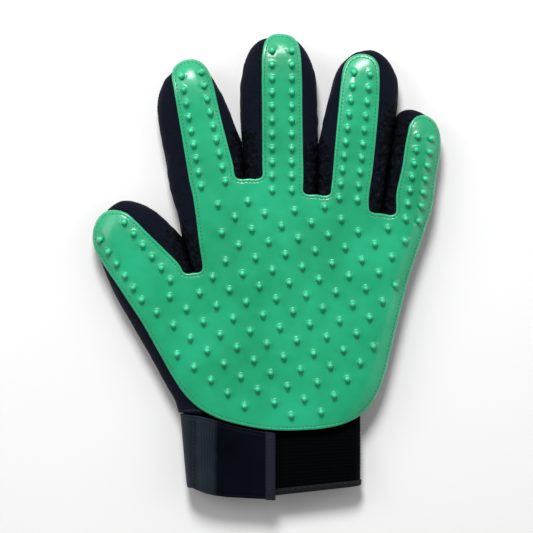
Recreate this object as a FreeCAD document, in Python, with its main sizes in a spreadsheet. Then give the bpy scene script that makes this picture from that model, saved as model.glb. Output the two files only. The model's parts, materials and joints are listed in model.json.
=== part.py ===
import FreeCAD, Part
import math
import os

import Sketcher

from FreeCAD import Placement, Rotation, Vector

# Left-hand grooming glove, millimetres, lying on its back: +X to the little-finger side,
# +Y along the fingers, +Z out of the rubber palm. Each finger is cut at its knuckle lines,
# where the soft glove bends, and every length of finger is a pad, a side wall and a back.

os.makedirs("parts", exist_ok=True)
doc = FreeCAD.newDocument("grooming_glove")
sheet = doc.addObject("Spreadsheet::Sheet", "dims")
rows = 0


def dim(alias, value):
    """One driving dimension: a labelled cell of the sheet."""
    global rows
    rows += 1
    sheet.set(f"A{rows}", alias)
    sheet.set(f"B{rows}", str(value))
    sheet.setAlias(f"B{rows}", alias)


# ---------------------------------------------------------------- driving dimensions
SHEET_SIZES = {
    "fabric_top": 17.0,
    "fabric_wall": 1.5,
    "edge_round": 7.0,
    "back_round": 6.0,
    "seam_level": 6.0,
    "pad_thick": 1.4,
    "pad_wrap_level": 8.0,
    "strip_corner": 5.0,
    "strip_past_tip": 1.0,
    "strip_root": 8.0,
    "root_overlap": 3.0,
    "knuckle_gap": 0.4,
    "digit_root": 10.0,
    "nub_height": 3.0,
    "nub_base_radius": 1.45,
    "nub_tip_radius": 1.0,
    "nub_tip_round": 0.75,
    "nub_root": 1.2,
    "nub_margin": 5.0,
    "heel_margin": 8.7,
    "heel_line": -60.0,
    "nub_spacing": 6.0,
    "nub_drift": 0.00029,
    "mouth_end": -76.0,
    "cuff_left": -42.2,
    "cuff_right": 48.4,
    "cuff_low": 1.2,
    "cuff_high": 13.6,
    "cuff_end": -113.6,
    "cuff_wall": 2.0,
    "seam_left": -44.6,
    "seam_right": 50.8,
    "seam_low": 0.2,
    "seam_high": 16.6,
    "seam_wide": 2.0,
    "seam_wall": 3.6,
    "hem_wide": 2.2,
    "hem_proud": 0.6,
    "strap_thick": 1.2,
    "strap_sunk": 0.2,
    "strap_bend_x": -36.0,
    "strap_top_edge": -78.6,
    "strap_low_edge": -113.6,
    "strap_back_reach": 32.0,
    "strap_free_x": 4.5,
    "strap_free_low": -119.6,
    "strap_free_top": -84.6,
    "strap_end_x": -0.1,
    "strap_end_low": -119.2,
    "strap_end_top": -84.2,
    "strap_step_x": -12.0,
    "strap_step_y": -82.4,
    "strap_turn_x": -28.0,
    "strap_root_x": -35.7,
    "hook_thick": 0.7,
    "hook_wide": 20.0,
    "hook_tall": 24.0,
    "hook_low": -114.5,
    "hook_inset": 2.0,
    "loop_thick": 1.0,
    "loop_wide": 28.0,
    "loop_tall": 22.0,
    "loop_low": -111.5,
    "loop_right": 3.5,
}
for alias, value in SHEET_SIZES.items():
    dim(alias, value)

# Each digit has its own axis: an origin on the knuckle line at its root, a lean from +Y
# towards +X, and a length to the end of the rubber. Half widths are from that axis.
DIGIT_TERMS = (
    "x", "y", "lean", "length",
    "sleeve_shift", "sleeve_half", "tip_shift", "tip_round",
    "strip_left", "strip_right", "strip_tip_left", "strip_tip_right",
    "nub_pitch", "nub_first", "nub_left", "nub_right", "nub_tip_left", "nub_tip_right",
)
DIGITS = {
    "thumb": (-57.3, -7.4, -35.0, 44.8, -0.6, 20.6, 1.2, 17.3, 16.4, 15.5, 19.0, 9.4,
              7.5, 3.75, 10.5, 7.3, 10.5, 4.1),
    "index": (-27.9, 46.4, -11.3, 62.0, -2.9, 18.3, -2.6, 16.9, 11.3, 11.3, 10.0, 10.0,
              7.15, 3.6, 6.3, 6.3, 5.0, 5.0),
    "middle": (7.9, 50.3, 0.0, 69.5, -1.3, 18.8, -1.3, 18.2, 10.6, 10.6, 10.5, 10.5,
               7.13, 3.56, 5.05, 5.05, 5.05, 5.05),
    "ring": (42.2, 38.7, 6.3, 73.0, 0.1, 16.0, 0.6, 16.0, 10.5, 10.5, 9.4, 9.4,
             7.17, 3.58, 4.7, 4.7, 3.9, 3.9),
    "pinky": (75.2, 28.2, 8.6, 51.8, -3.7, 11.4, -3.2, 11.0, 9.2, 12.0, 8.0, 12.0,
              6.97, 3.9, 3.5, 3.4, 3.5, 3.4),
}
# how far the palm's fabric stands back from each side of a digit's root
ROOT_CLEARANCE = {
    "thumb": (3.25, 0.25),
    "index": (3.25, 0.25),
    "middle": (0.25, 0.25),
    "ring": (0.25, 0.25),
    "pinky": (0.25, 4.25),
}
# rows of nubs on each length of a digit, from the root to the tip
NUB_ROWS = {
    "thumb": (2, 3),
    "index": (3, 3, 2),
    "middle": (3, 3, 3),
    "ring": (3, 3, 3),
    "pinky": (2, 2, 2),
}
LENGTH_NAMES = {2: ("lower", "tip"), 3: ("lower", "middle", "tip")}

# reaches of the cutting blocks, well past everything they cut
WIDE = 150.0
TALL = 45.0
BELOW_ALL = -5.0
PAST_EVERY_TIP = 100.0
PAST_ANY_SIDE = 60.0
LATTICE_REACH = 16

# rows of finger nubs that carry on below the root knuckle, onto the palm
ROWS_BELOW = {"thumb": 1, "index": 1, "middle": 2, "ring": 1, "pinky": 1}

for digit, values in DIGITS.items():
    for term, value in zip(DIGIT_TERMS, values):
        dim(f"{digit}_{term}", value)

# the palm's nub lattice: one nub, and the two steps between neighbours
for alias, value in {
    "lattice_x": -24.75, "lattice_y": 32.2,
    "across_x": 8.6, "across_y": -6.3,
    "down_x": -6.67, "down_y": -8.0,
}.items():
    dim(alias, value)
doc.recompute()


def size(alias):
    return float(sheet.get(alias))


# ---------------------------------------------------------------- shapes in plan
def hull_outline(circles):
    """A tight band round circles (x, y, radius), given anticlockwise: arcs and tangents."""
    turns = []
    for (ax, ay, ar), (bx, by, br) in zip(circles, circles[1:] + circles[:1]):
        heading = math.atan2(by - ay, bx - ax)
        taper = math.acos((ar - br) / math.hypot(bx - ax, by - ay))
        turns.append(heading - taper)
    edges = []
    for i, (x, y, radius) in enumerate(circles):
        start, end = turns[i - 1], turns[i]
        sweep = (end - start) % (2 * math.pi)
        on_arc = [
            Vector(x + radius * math.cos(a), y + radius * math.sin(a), 0)
            for a in (start, start + sweep / 2, start + sweep)
        ]
        nx, ny, nr = circles[(i + 1) % len(circles)]
        next_start = Vector(nx + nr * math.cos(end), ny + nr * math.sin(end), 0)
        edges.append(Part.Arc(*on_arc).toShape())
        edges.append(Part.LineSegment(on_arc[2], next_start).toShape())
    return Part.Wire(edges)


def pillow(circles, grow):
    """A flat-topped body round circles, its edges rounded; grow moves every face outwards."""
    wider = [(x, y, r + grow) for x, y, r in circles]
    low, high = -grow, size("fabric_top") + grow
    solid = Part.Face(hull_outline(wider)).extrude(Vector(0, 0, high - low))
    solid.translate(Vector(0, 0, low))
    for level, radius in ((high, size("edge_round")), (low, size("back_round"))):
        rim = [
            e for e in solid.Edges
            if all(abs(v.Z - level) < 1e-6 for v in e.Vertexes)
        ]
        solid = solid.makeFillet(radius + grow, rim)
    return solid


class Digit:
    """A finger or the thumb: its axis, and the places of its knuckle lines along it."""

    def __init__(self, name):
        self.name = name
        self.terms = {t: size(f"{name}_{t}") for t in DIGIT_TERMS}
        lean = math.radians(self.terms["lean"])
        self.along = Vector(math.sin(lean), math.cos(lean), 0)
        self.across = Vector(math.cos(lean), -math.sin(lean), 0)
        self.root = Vector(self.terms["x"], self.terms["y"], 0)
        rows_so_far = 0
        self.cuts = [0.0]
        for count in NUB_ROWS[name][:-1]:
            rows_so_far += count
            self.cuts.append(
                self.terms["nub_first"] + (rows_so_far - 0.5) * self.terms["nub_pitch"]
            )
        self.cuts.append(PAST_EVERY_TIP)
        t = self.terms
        self.left = min(t["sleeve_shift"] - t["sleeve_half"], t["tip_shift"] - t["tip_round"])
        self.right = max(t["sleeve_shift"] + t["sleeve_half"], t["tip_shift"] + t["tip_round"])

    def at(self, across, along, height=0.0):
        return self.root + self.across * across + self.along * along + Vector(0, 0, height)

    def circles(self):
        """The tip and the root circle that the sleeve's outline wraps."""
        t = self.terms
        tip = self.at(t["tip_shift"], t["length"] - size("pad_thick") - t["tip_round"])
        root = self.at(t["sleeve_shift"], -size("digit_root"))
        return [(tip.x, tip.y, t["tip_round"]), (root.x, root.y, t["sleeve_half"])]

    def sleeve(self, grow):
        return pillow(self.circles(), grow)

    def plan(self):
        return Part.Face(hull_outline(self.circles()))

    def block(self, left, right, start, end):
        """A tall block over the digit between two distances along its axis."""
        corners = [
            self.at(left, start, BELOW_ALL), self.at(right, start, BELOW_ALL),
            self.at(right, end, BELOW_ALL), self.at(left, end, BELOW_ALL),
        ]
        face = Part.Face(Part.makePolygon(corners + corners[:1]))
        return face.extrude(Vector(0, 0, TALL))

    def strip(self):
        """The rubber strip's plan, as a tall prism, with round corners past the tip."""
        t = self.terms
        corner = size("strip_corner")
        sharp = size("strip_past_tip")
        start = -size("strip_root")
        end = t["length"] + size("strip_past_tip") - corner
        places = [
            (-t["strip_left"] + sharp, start, sharp), (t["strip_right"] - sharp, start, sharp),
            (t["strip_tip_right"] - corner, end, corner),
            (-t["strip_tip_left"] + corner, end, corner),
        ]
        circles = []
        for across, along, radius in places:
            p = self.at(across, along)
            circles.append((p.x, p.y, radius))
        prism = Part.Face(hull_outline(circles)).extrude(Vector(0, 0, TALL))
        prism.translate(Vector(0, 0, size("pad_wrap_level")))
        return prism

    def nub_row(self, row):
        """The two nubs of one row, counted from the root knuckle line."""
        t = self.terms
        along = t["nub_first"] + row * t["nub_pitch"]
        if row < 0:
            along = -t["nub_first"] + (row + 1) * t["nub_pitch"]
        part = max(0.0, along / t["length"])
        left = t["nub_left"] + (t["nub_tip_left"] - t["nub_left"]) * part
        right = t["nub_right"] + (t["nub_tip_right"] - t["nub_right"]) * part
        return [self.at(-left, along), self.at(right, along)]


digits = {name: Digit(name) for name in DIGITS}

# the hand and the ball of the thumb, each as circles that its outline wraps
HAND = [(-26, 26, 18), (-27, -72, 17.4), (34, -72, 17.4), (44.5, -46, 17), (64, 20, 15)]
THUMB_BALL = [(-53.2, -14.3, 20.6), (-32, -62, 17)]


def whole_glove(grow):
    """Hand, ball of the thumb and every digit together, as one body."""
    bodies = [pillow(HAND, grow), pillow(THUMB_BALL, grow)]
    bodies += [d.sleeve(grow) for d in digits.values()]
    return bodies[0].multiFuse(bodies[1:]).removeSplitter()


# ---------------------------------------------------------------- nubs
def nub_post():
    """One rubber nub at the origin: a slightly tapered post with a rounded tip and a root."""
    root = size("nub_root")
    post = Part.makeCone(size("nub_base_radius"), size("nub_tip_radius"),
                         size("nub_height") + root, Vector(0, 0, -root))
    rim = [e for e in post.Edges if all(v.Z > 0 for v in e.Vertexes) and e.isClosed()]
    return post.makeFillet(size("nub_tip_round"), rim)


def nub(place):
    post = nub_model.copy()
    post.translate(Vector(place.x, place.y, size("fabric_top") + size("pad_thick")))
    return post


def with_nubs(pad, places):
    return pad.multiFuse([nub(p) for p in places])


nub_model = nub_post()


# ---------------------------------------------------------------- the palm pad's outline
def palm_pad_outline():
    """The palm rubber in plan: digit roots and the slots between, then one smooth edge."""
    thumb, index, middle, ring, pinky = (
        digits[n] for n in ("thumb", "index", "middle", "ring", "pinky")
    )
    over = size("root_overlap")
    corners = [
        pinky.at(-pinky.terms["strip_left"], over), Vector(65.4, 27.4, 0), Vector(53.4, 27.4, 0),
        ring.at(ring.terms["strip_right"], over), ring.at(-ring.terms["strip_left"], over),
        Vector(32.2, 37.2, 0), Vector(18.6, 37.2, 0),
        middle.at(middle.terms["strip_right"], over), middle.at(-middle.terms["strip_left"], over),
        Vector(-2.6, 45.4, 0), Vector(-15.8, 45.4, 0),
        index.at(index.terms["strip_right"], over), index.at(-index.terms["strip_left"], over),
        Vector(-36.9, 32.0, 0), Vector(-33.0, 3.0, 0), Vector(-33.4, -3.1, 0),
        Vector(-39.8, -3.1, 0),
        thumb.at(thumb.terms["strip_right"], over), thumb.at(-thumb.terms["strip_left"], over),
    ]
    heel = [
        Vector(-46.0, -60.5, 0), Vector(-34.5, -71.8, 0), Vector(-18.0, -79.3, 0),
        Vector(10.0, -83.8, 0), Vector(38.0, -80.9, 0), Vector(51.5, -72.5, 0),
        Vector(60.0, -60.0, 0),
    ]
    thumb_side = thumb.at(-thumb.terms["strip_left"], -over)
    rim = Part.makePolygon(corners + [thumb_side, heel[0]]).Edges
    rim += [Part.Arc(*heel[i:i + 3]).toShape() for i in (0, 2, 4)]
    far_side = pinky.at(pinky.terms["strip_right"], over)
    rim += Part.makePolygon([heel[-1], far_side, corners[0]]).Edges
    return Part.Wire(Part.__sortEdges__(rim))


def lattice_nubs(outline, taken):
    """Palm nubs on a lattice that opens out a little towards the heel.

    They stand well inside the outline and clear of the fingers' own rows.
    """
    start = Vector(size("lattice_x"), size("lattice_y"), 0)
    across = Vector(size("across_x"), size("across_y"), 0)
    down = Vector(size("down_x"), size("down_y"), 0)
    hand = Part.Face(hull_outline(HAND)).fuse(Part.Face(hull_outline(THUMB_BALL)))
    sleeves = [d.plan() for d in digits.values()]
    face = Part.Face(outline).common(hand.multiFuse(sleeves).removeSplitter())
    edge_of_pad = Part.Compound(face.Edges)
    found = []
    for i in range(-LATTICE_REACH, LATTICE_REACH):
        for j in range(-LATTICE_REACH, LATTICE_REACH):
            place = start + across * i + down * j
            spot = Part.Vertex(place)
            inside = spot.distToShape(face)[0] < 1e-6
            margin = size("nub_margin" if place.y > size("heel_line") else "heel_margin")
            if not inside or spot.distToShape(edge_of_pad)[0] < margin:
                continue
            if min(place.distanceToPoint(p) for p in taken) < size("nub_spacing"):
                continue
            below_first = start.y - place.y
            found.append(place - Vector(0, size("nub_drift") * below_first ** 2, 0))
    return found


# ---------------------------------------------------------------- soft bodies
def soft_part(name, shape):
    """A sewn or moulded soft piece, whose double-curved form has no primitive of its own."""
    piece = doc.addObject("Part::Feature", name)
    piece.Label = name
    piece.Shape = shape
    piece.Placement = Placement(Vector(0, 0, 0), Rotation())
    return piece


def split_shell(shell):
    """The side walls above the seam and the back panel below it."""
    slab = Part.makeBox(2 * WIDE, 2 * WIDE, size("seam_level") - BELOW_ALL,
                        Vector(-WIDE, -WIDE, BELOW_ALL))
    return shell.cut(slab), shell.common(slab)


outer = whole_glove(0.0)
inner = whole_glove(-size("fabric_wall"))
rubber = whole_glove(size("pad_thick")).cut(outer)
shell = outer.cut(inner)
parts = []

for name, digit in digits.items():
    strip = rubber.common(digit.strip())
    tops = LENGTH_NAMES[len(NUB_ROWS[name])]
    half_gap = size("knuckle_gap") / 2
    row = 0
    sleeve_shell = shell.common(digit.sleeve(0.0))
    for k, length_name in enumerate(tops):
        window = digit.block(-PAST_ANY_SIDE, PAST_ANY_SIDE,
                             digit.cuts[k] + half_gap, digit.cuts[k + 1] - half_gap)
        side, back = split_shell(sleeve_shell.common(window))
        places = [p for r in range(row, row + NUB_ROWS[name][k]) for p in digit.nub_row(r)]
        row += NUB_ROWS[name][k]
        pad = with_nubs(strip.common(window), places)
        parts.append(soft_part(f"{name}_{length_name}_pad", pad))
        parts.append(soft_part(f"{name}_{length_name}_sidewall", side))
        parts.append(soft_part(f"{name}_{length_name}_back", back))

hand_shell = shell
hand_rubber = rubber
for digit in digits.values():
    left_clear, right_clear = ROOT_CLEARANCE[digit.name]
    beyond = digit.block(digit.left - left_clear, digit.right + right_clear,
                         -size("knuckle_gap") / 2, PAST_EVERY_TIP)
    hand_shell = hand_shell.cut(beyond)
    hand_rubber = hand_rubber.cut(beyond)
past_mouth = Part.makeBox(2 * WIDE, WIDE, TALL, Vector(-WIDE, size("mouth_end") - WIDE, BELOW_ALL))
side, back = split_shell(hand_shell.cut(past_mouth))
outline = palm_pad_outline()
palm_prism = Part.Face(outline).extrude(Vector(0, 0, TALL))
palm_prism.translate(Vector(0, 0, size("pad_wrap_level")))
finger_nubs = [
    p for name, digit in digits.items()
    for r in range(-ROWS_BELOW[name], 0) for p in digit.nub_row(r)
]
nearby = finger_nubs + [p for d in digits.values() for p in d.nub_row(0)]
palm_nubs = finger_nubs + lattice_nubs(outline, nearby)
parts.append(soft_part("palm_pad", with_nubs(hand_rubber.common(palm_prism), palm_nubs)))
parts.append(soft_part("palm_sidewall", side))
parts.append(soft_part("palm_back", back))
print("palm nubs", len(palm_nubs))


# ---------------------------------------------------------------- cuff, hem and seam
def bind(obj, **formulas):
    for prop, formula in formulas.items():
        obj.setExpression(prop.replace("_at_", ".Base."), formula)


def stadium(name, near, far, left, right, low, high):
    """A bar along Y with round sides, from cells: a box and a cylinder at each side."""
    radius = f"(({high}) - ({low})) / 2"
    box = doc.addObject("Part::Box", name + "_box")
    bind(box, Length=f"({right}) - ({left}) - 2 * {radius}", Width=f"({near}) - ({far})",
         Height=f"({high}) - ({low})")
    bind(box, Placement_at_x=f"({left}) + {radius}", Placement_at_y=far, Placement_at_z=low)
    members = [box]
    for side, place in (("left", f"({left}) + {radius}"), ("right", f"({right}) - {radius}")):
        bar = doc.addObject("Part::Cylinder", f"{name}_{side}")
        bar.Placement.Rotation = Rotation(Vector(1, 0, 0), 90)
        bind(bar, Radius=radius, Height=f"({near}) - ({far})")
        bind(bar, Placement_at_x=place, Placement_at_y=near, Placement_at_z=f"({low}) + {radius}")
        members.append(bar)
    fused = doc.addObject("Part::MultiFuse", name + "_bar")
    fused.Shapes = members
    return fused


def ring(name, near, far, left, right, low, high, wall):
    """A flattened tube along Y with a wall of even thickness."""
    bar = stadium(name + "_outer", near, far, left, right, low, high)
    core = stadium(name + "_inner", f"{near} + 1", f"{far} - 1", f"{left} + {wall}",
                   f"{right} - {wall}", f"{low} + {wall}", f"{high} - {wall}")
    tube = doc.addObject("Part::Cut", name)
    tube.Base = bar
    tube.Tool = core
    tube.Label = name
    return tube


SEAM_FAR = "dims.mouth_end - dims.seam_wide"
parts.append(ring("cuff_seam", "dims.mouth_end", SEAM_FAR, "dims.seam_left", "dims.seam_right",
                  "dims.seam_low", "dims.seam_high", "dims.seam_wall"))
parts.append(ring("cuff_band", SEAM_FAR, "dims.cuff_end", "dims.cuff_left", "dims.cuff_right",
                  "dims.cuff_low", "dims.cuff_high", "dims.cuff_wall"))
parts.append(ring("cuff_hem", "dims.cuff_end", "dims.cuff_end - dims.hem_wide",
                  "dims.cuff_left - dims.hem_proud", "dims.cuff_right + dims.hem_proud",
                  "dims.cuff_low - dims.hem_proud", "dims.cuff_high + dims.hem_proud",
                  "dims.cuff_wall + dims.hem_proud"))


# ---------------------------------------------------------------- strap
def plate(name, x, y, z, length, width, height):
    """A flat rectangular patch, from cells."""
    patch = doc.addObject("Part::Box", name)
    patch.Label = name
    bind(patch, Length=length, Width=width, Height=height)
    bind(patch, Placement_at_x=x, Placement_at_y=y, Placement_at_z=z)
    return patch


STRAP_TOP = "dims.fabric_top - dims.strap_sunk"
STRAP_UNDER = f"({STRAP_TOP} - dims.strap_thick)"

parts.append(plate("loop_patch", "dims.loop_right - dims.loop_wide", "dims.loop_low",
                   "dims.cuff_high", "dims.loop_wide", "dims.loop_tall", "dims.loop_thick"))
parts.append(plate("strap_hook_patch",
                   "dims.strap_free_x - dims.hook_inset - dims.hook_wide", "dims.hook_low",
                   f"{STRAP_UNDER} - dims.hook_thick", "dims.hook_wide", "dims.hook_tall",
                   "dims.hook_thick"))


def sketched_plate(name, corners, level, height):
    """A body padded up from a sketched outline, every corner bound to its two cells."""
    body = doc.addObject("PartDesign::Body", name)
    body.Label = name
    plane = next(f for f in body.Origin.OriginFeatures if f.Role == "XY_Plane")
    sketch = body.newObject("Sketcher::SketchObject", name + "_outline")
    sketch.AttachmentSupport = [(plane, "")]
    sketch.MapMode = "FlatFace"
    sketch.setExpression(".AttachmentOffset.Base.z", level)
    points = [Vector(size(x), size(y), 0) for x, y in corners]
    for a, b in zip(points, points[1:] + points[:1]):
        sketch.addGeometry(Part.LineSegment(a, b), False)
    for i, (x, y) in enumerate(corners):
        before = (i - 1) % len(corners)
        sketch.addConstraint(Sketcher.Constraint("Coincident", before, 2, i, 1))
        for kind, alias in (("DistanceX", x), ("DistanceY", y)):
            held = sketch.addConstraint(Sketcher.Constraint(kind, -1, 1, i, 1, size(alias)))
            sketch.setExpression(f"Constraints[{held}]", f"dims.{alias}")
    pad = body.newObject("PartDesign::Pad", name + "_pad")
    pad.Profile = sketch
    pad.setExpression("Length", height)
    return body


parts.append(sketched_plate(
    "strap_band",
    (("strap_end_x", "strap_end_low"), ("strap_end_x", "strap_end_top"),
     ("strap_step_x", "strap_step_y"), ("strap_turn_x", "strap_top_edge"),
     ("strap_root_x", "strap_top_edge"), ("strap_root_x", "strap_low_edge")),
    STRAP_UNDER, "dims.strap_thick"))
parts.append(sketched_plate(
    "strap_end_hem",
    (("strap_end_x", "strap_end_low"), ("strap_end_x", "strap_end_top"),
     ("strap_free_x", "strap_free_top"), ("strap_free_x", "strap_free_low")),
    STRAP_UNDER, "dims.strap_thick"))

# the fixed end: a bend round the thumb edge of the cuff, and a flat length sewn to its back
bend_outer, bend_inner = (
    doc.addObject("Part::Cylinder", n) for n in ("strap_bend_outer", "strap_bend_inner")
)
BEND_RADIUS = f"({STRAP_TOP}) / 2"
for bar, radius in ((bend_outer, BEND_RADIUS), (bend_inner, f"{BEND_RADIUS} - dims.strap_thick")):
    bar.Placement.Rotation = Rotation(Vector(1, 0, 0), 90)
    bind(bar, Radius=radius, Height="dims.strap_top_edge - dims.strap_low_edge")
    bind(bar, Placement_at_x="dims.strap_bend_x", Placement_at_y="dims.strap_top_edge",
         Placement_at_z=BEND_RADIUS)
bend_ring = doc.addObject("Part::Cut", "strap_bend_ring")
bend_ring.Base, bend_ring.Tool = bend_outer, bend_inner
half = plate("strap_bend_half", f"dims.strap_bend_x - 2 * {BEND_RADIUS}",
             "dims.strap_low_edge - 1", "-1", f"2 * {BEND_RADIUS}",
             "dims.strap_top_edge - dims.strap_low_edge + 2", f"{STRAP_TOP} + 2")
bend = doc.addObject("Part::Common", "strap_bend")
bend.Base, bend.Tool = bend_ring, half
back_run = plate("strap_back_run", "dims.strap_bend_x", "dims.strap_low_edge", "0",
                 "dims.strap_back_reach", "dims.strap_top_edge - dims.strap_low_edge",
                 "dims.strap_thick")
anchor = doc.addObject("Part::MultiFuse", "strap_anchor")
anchor.Shapes = [bend, back_run]
anchor.Label = "strap_anchor"
parts.append(anchor)

# ---------------------------------------------------------------- check and write
doc.recompute()
for obj in doc.Objects:
    if "Invalid" in obj.State or "Error" in obj.State:
        raise RuntimeError(f"{obj.Name} failed: {obj.State}")
for piece in parts:
    shape = piece.Shape
    if shape.isNull() or not shape.isValid() or not shape.Solids:
        raise RuntimeError(f"{piece.Label} has no valid solid")
    print(f"{piece.Label}: {len(shape.Solids)} solid, {shape.Volume:.0f} mm3")
    shape.exportStep(f"parts/{piece.Label}.step")
box = FreeCAD.BoundBox()
for piece in parts:
    box.add(piece.Shape.BoundBox)
print(len(parts), "pieces;", box)
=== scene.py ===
import json
import math

import bmesh
import bpy
import numpy as np
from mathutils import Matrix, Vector, kdtree, noise
from mathutils.geometry import delaunay_2d_cdt


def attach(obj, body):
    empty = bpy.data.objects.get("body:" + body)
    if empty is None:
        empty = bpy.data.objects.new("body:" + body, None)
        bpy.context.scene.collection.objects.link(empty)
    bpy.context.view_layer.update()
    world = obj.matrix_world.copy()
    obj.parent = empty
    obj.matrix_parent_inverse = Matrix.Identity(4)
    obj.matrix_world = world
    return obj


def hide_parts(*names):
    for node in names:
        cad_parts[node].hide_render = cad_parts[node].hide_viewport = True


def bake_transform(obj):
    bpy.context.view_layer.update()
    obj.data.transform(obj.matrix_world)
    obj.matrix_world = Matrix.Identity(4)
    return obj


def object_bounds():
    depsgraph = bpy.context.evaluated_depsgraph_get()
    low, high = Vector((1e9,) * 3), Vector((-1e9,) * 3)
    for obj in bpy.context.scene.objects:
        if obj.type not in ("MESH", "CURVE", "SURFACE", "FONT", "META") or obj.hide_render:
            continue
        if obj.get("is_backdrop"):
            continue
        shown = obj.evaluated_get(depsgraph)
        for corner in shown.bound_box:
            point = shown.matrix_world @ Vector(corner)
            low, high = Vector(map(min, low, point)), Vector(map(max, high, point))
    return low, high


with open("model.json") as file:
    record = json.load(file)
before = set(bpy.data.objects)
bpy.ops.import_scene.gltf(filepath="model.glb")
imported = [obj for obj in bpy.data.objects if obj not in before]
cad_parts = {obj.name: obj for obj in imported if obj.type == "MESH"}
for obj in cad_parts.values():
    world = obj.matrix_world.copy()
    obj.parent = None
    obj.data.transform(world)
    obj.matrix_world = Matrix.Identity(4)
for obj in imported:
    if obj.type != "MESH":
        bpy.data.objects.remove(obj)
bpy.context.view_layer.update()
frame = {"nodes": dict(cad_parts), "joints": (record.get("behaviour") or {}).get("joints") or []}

MM = 0.001  # every size below is in millimetres, and meshes are made in metres

# ---------------------------- the glove in plan
MID_HEIGHT = 8.5      # height of the silhouette edge above the table
HALF_THICK = 8.4      # from there up to the fabric under the rubber
EDGE_ROUND = 8.5      # how far in from the silhouette the fabric rounds over
CREVICE_ROUND = 3.2   # the same between two fingers that touch
RUBBER = 1.5          # thickness of the rubber
FIRST_SEAM = -0.5     # along a digit: where its first piece meets the palm

# Each digit's fabric, from the root on its right, round the tip, to the root on its left,
# as (across, along) from the root knuckle.
SLEEVES = {
    "pinky": [(7.9, 0), (7.9, 20), (7.6, 36), (6, 42.5), (2.4, 47.6), (-1.6, 50.4),
              (-6.5, 52.2), (-11.6, 51.6), (-14.6, 49.4)],
    "ring": [(20.1, 47), (19.4, 56), (17.2, 63.3), (14.2, 68), (9.5, 72.2), (4.2, 74),
             (-1.5, 72.8), (-6.5, 69.7), (-11, 64.7), (-13, 60), (-14.7, 50.7),
             (-16, 41.4), (-17.3, 28)],
    "middle": [(18.2, 14), (18.1, 30), (17.3, 45), (15.6, 53.9), (13.7, 58.4), (10.8, 63),
               (5.8, 66.8), (0, 68.1), (-5, 68.2), (-10, 66.9), (-15.2, 62.9),
               (-17.8, 58.4), (-19.3, 53.9), (-20.8, 44.9), (-21.4, 35.9), (-21.1, 24)],
    "index": [(16.6, 23), (15, 32.9), (13.6, 38.5), (12, 44), (10, 50), (7.2, 55.6),
              (3.4, 59), (-1.5, 60.2), (-6, 59.2), (-10.4, 56.6), (-14.7, 52.7),
              (-17.9, 48.4), (-20.4, 42), (-21.4, 33), (-21.6, 22), (-21.8, 10.4),
              (-22.1, 3.5)],
    "thumb": [(23.2, 17.5), (20.9, 28), (17.8, 35.7), (13.3, 41.1), (8.6, 43.9), (4, 44.4),
              (-2, 42.8), (-7.6, 40.4), (-11.6, 36.4), (-14.4, 31.2), (-16.2, 26),
              (-17.4, 21.9), (-19.7, 12.2), (-21.2, 2.3), (-22, -8.1)],
}
# The rubber strip on each digit, in the same order.
STRIPS = {
    "pinky": [(9.3, 2), (9.4, 20), (9.1, 36), (7.5, 43), (4, 48), (-0.5, 50.2),
              (-5.2, 49.2), (-8.2, 45.2), (-9, 38), (-9.2, 22), (-9.9, 6)],
    "ring": [(10.8, -5.5), (10.9, 12), (10.8, 30), (10.1, 50), (9.2, 60), (8.1, 66), (5.4, 69.6),
             (1, 71.2), (-4, 70.5), (-7.8, 67.6), (-9.6, 63.5), (-10.1, 56), (-10, 40),
             (-9.6, 20), (-9.2, 3.5)],
    "middle": [(10.9, -8), (10.8, 10), (10.5, 30), (10.2, 50), (9.5, 59.5), (8.2, 64.8),
               (5.2, 68.4), (0.3, 69.8), (-5.2, 69.2), (-8.6, 65.6), (-10, 60),
               (-10.3, 50), (-10.2, 30), (-10.1, 10), (-10, 1)],
    "index": [(11.8, 3), (11.3, 12), (10.4, 30), (9.8, 47), (9.1, 53), (7.3, 57.4),
              (4, 60.8), (-0.5, 61.9), (-4.9, 61.2), (-8.4, 58.9), (-10.1, 55),
              (-10.4, 48), (-10.9, 30), (-11.5, 10), (-11.8, -1.5)],
    "thumb": [(15.4, -1.2), (13.6, 11), (11.3, 23.5), (10, 31), (8.6, 36.6), (5.6, 40.8),
              (1.5, 43.6), (-2.6, 44.2), (-8.4, 42), (-12.9, 37.8), (-15.8, 31.8),
              (-16.4, 25), (-16.5, 15.6), (-16.7, 5), (-16.9, -1.5)],
}
# Where neighbouring digits part: the V that opens between them, and the crotch below it.
CREVICES = {
    ("ring", "pinky"): ((66.6, 77.4), (59.4, 27)),
    ("middle", "ring"): ((26.35, 59), (25.6, 36.8)),
    ("index", "middle"): ((-12.6, 64.3), (-10.8, 45)),
    ("thumb", "index"): ((-43.5, 15.6), (-38.4, -1.2)),
}
# The rubber's slots between the digits, from right to left along their nearly flat bottoms.
SLOTS = {
    ("ring", "pinky"): [(66.4, 29.8), (66.2, 27.9), (64.9, 27), (59.4, 27.5), (54.1, 28.2),
                        (52.8, 28.9), (52.4, 30.6)],
    ("middle", "ring"): [(33, 39.8), (32.8, 37.8), (31.5, 37), (25.4, 37.3), (20.3, 37.6),
                         (19, 38.4), (18.7, 40.2)],
    ("index", "middle"): [(-2, 48.6), (-2.2, 46.6), (-3.5, 45.7), (-9.2, 45.4),
                          (-14.4, 45.4), (-15.8, 46.2), (-16.4, 48)],
    ("thumb", "index"): [(-32.8, 1.2), (-33, -1.4), (-34.2, -2.4), (-37.6, -2.8),
                         (-40.8, -3.2), (-42.2, -2.6)],
}
FABRIC_RIGHT = [(50.3, -74.6), (53.6, -69), (57, -62.5), (62.4, -44.8), (66.9, -26.7),
                (71.4, -8.7), (78, 11.7), (81.2, 21)]
FABRIC_LEFT = [(-46.8, 32.5), (-44.2, 22.5)]
FABRIC_HEEL = [(-65.4, -36), (-60.2, -44.8), (-50.6, -62), (-47, -68.6), (-45.2, -74.6)]
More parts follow.
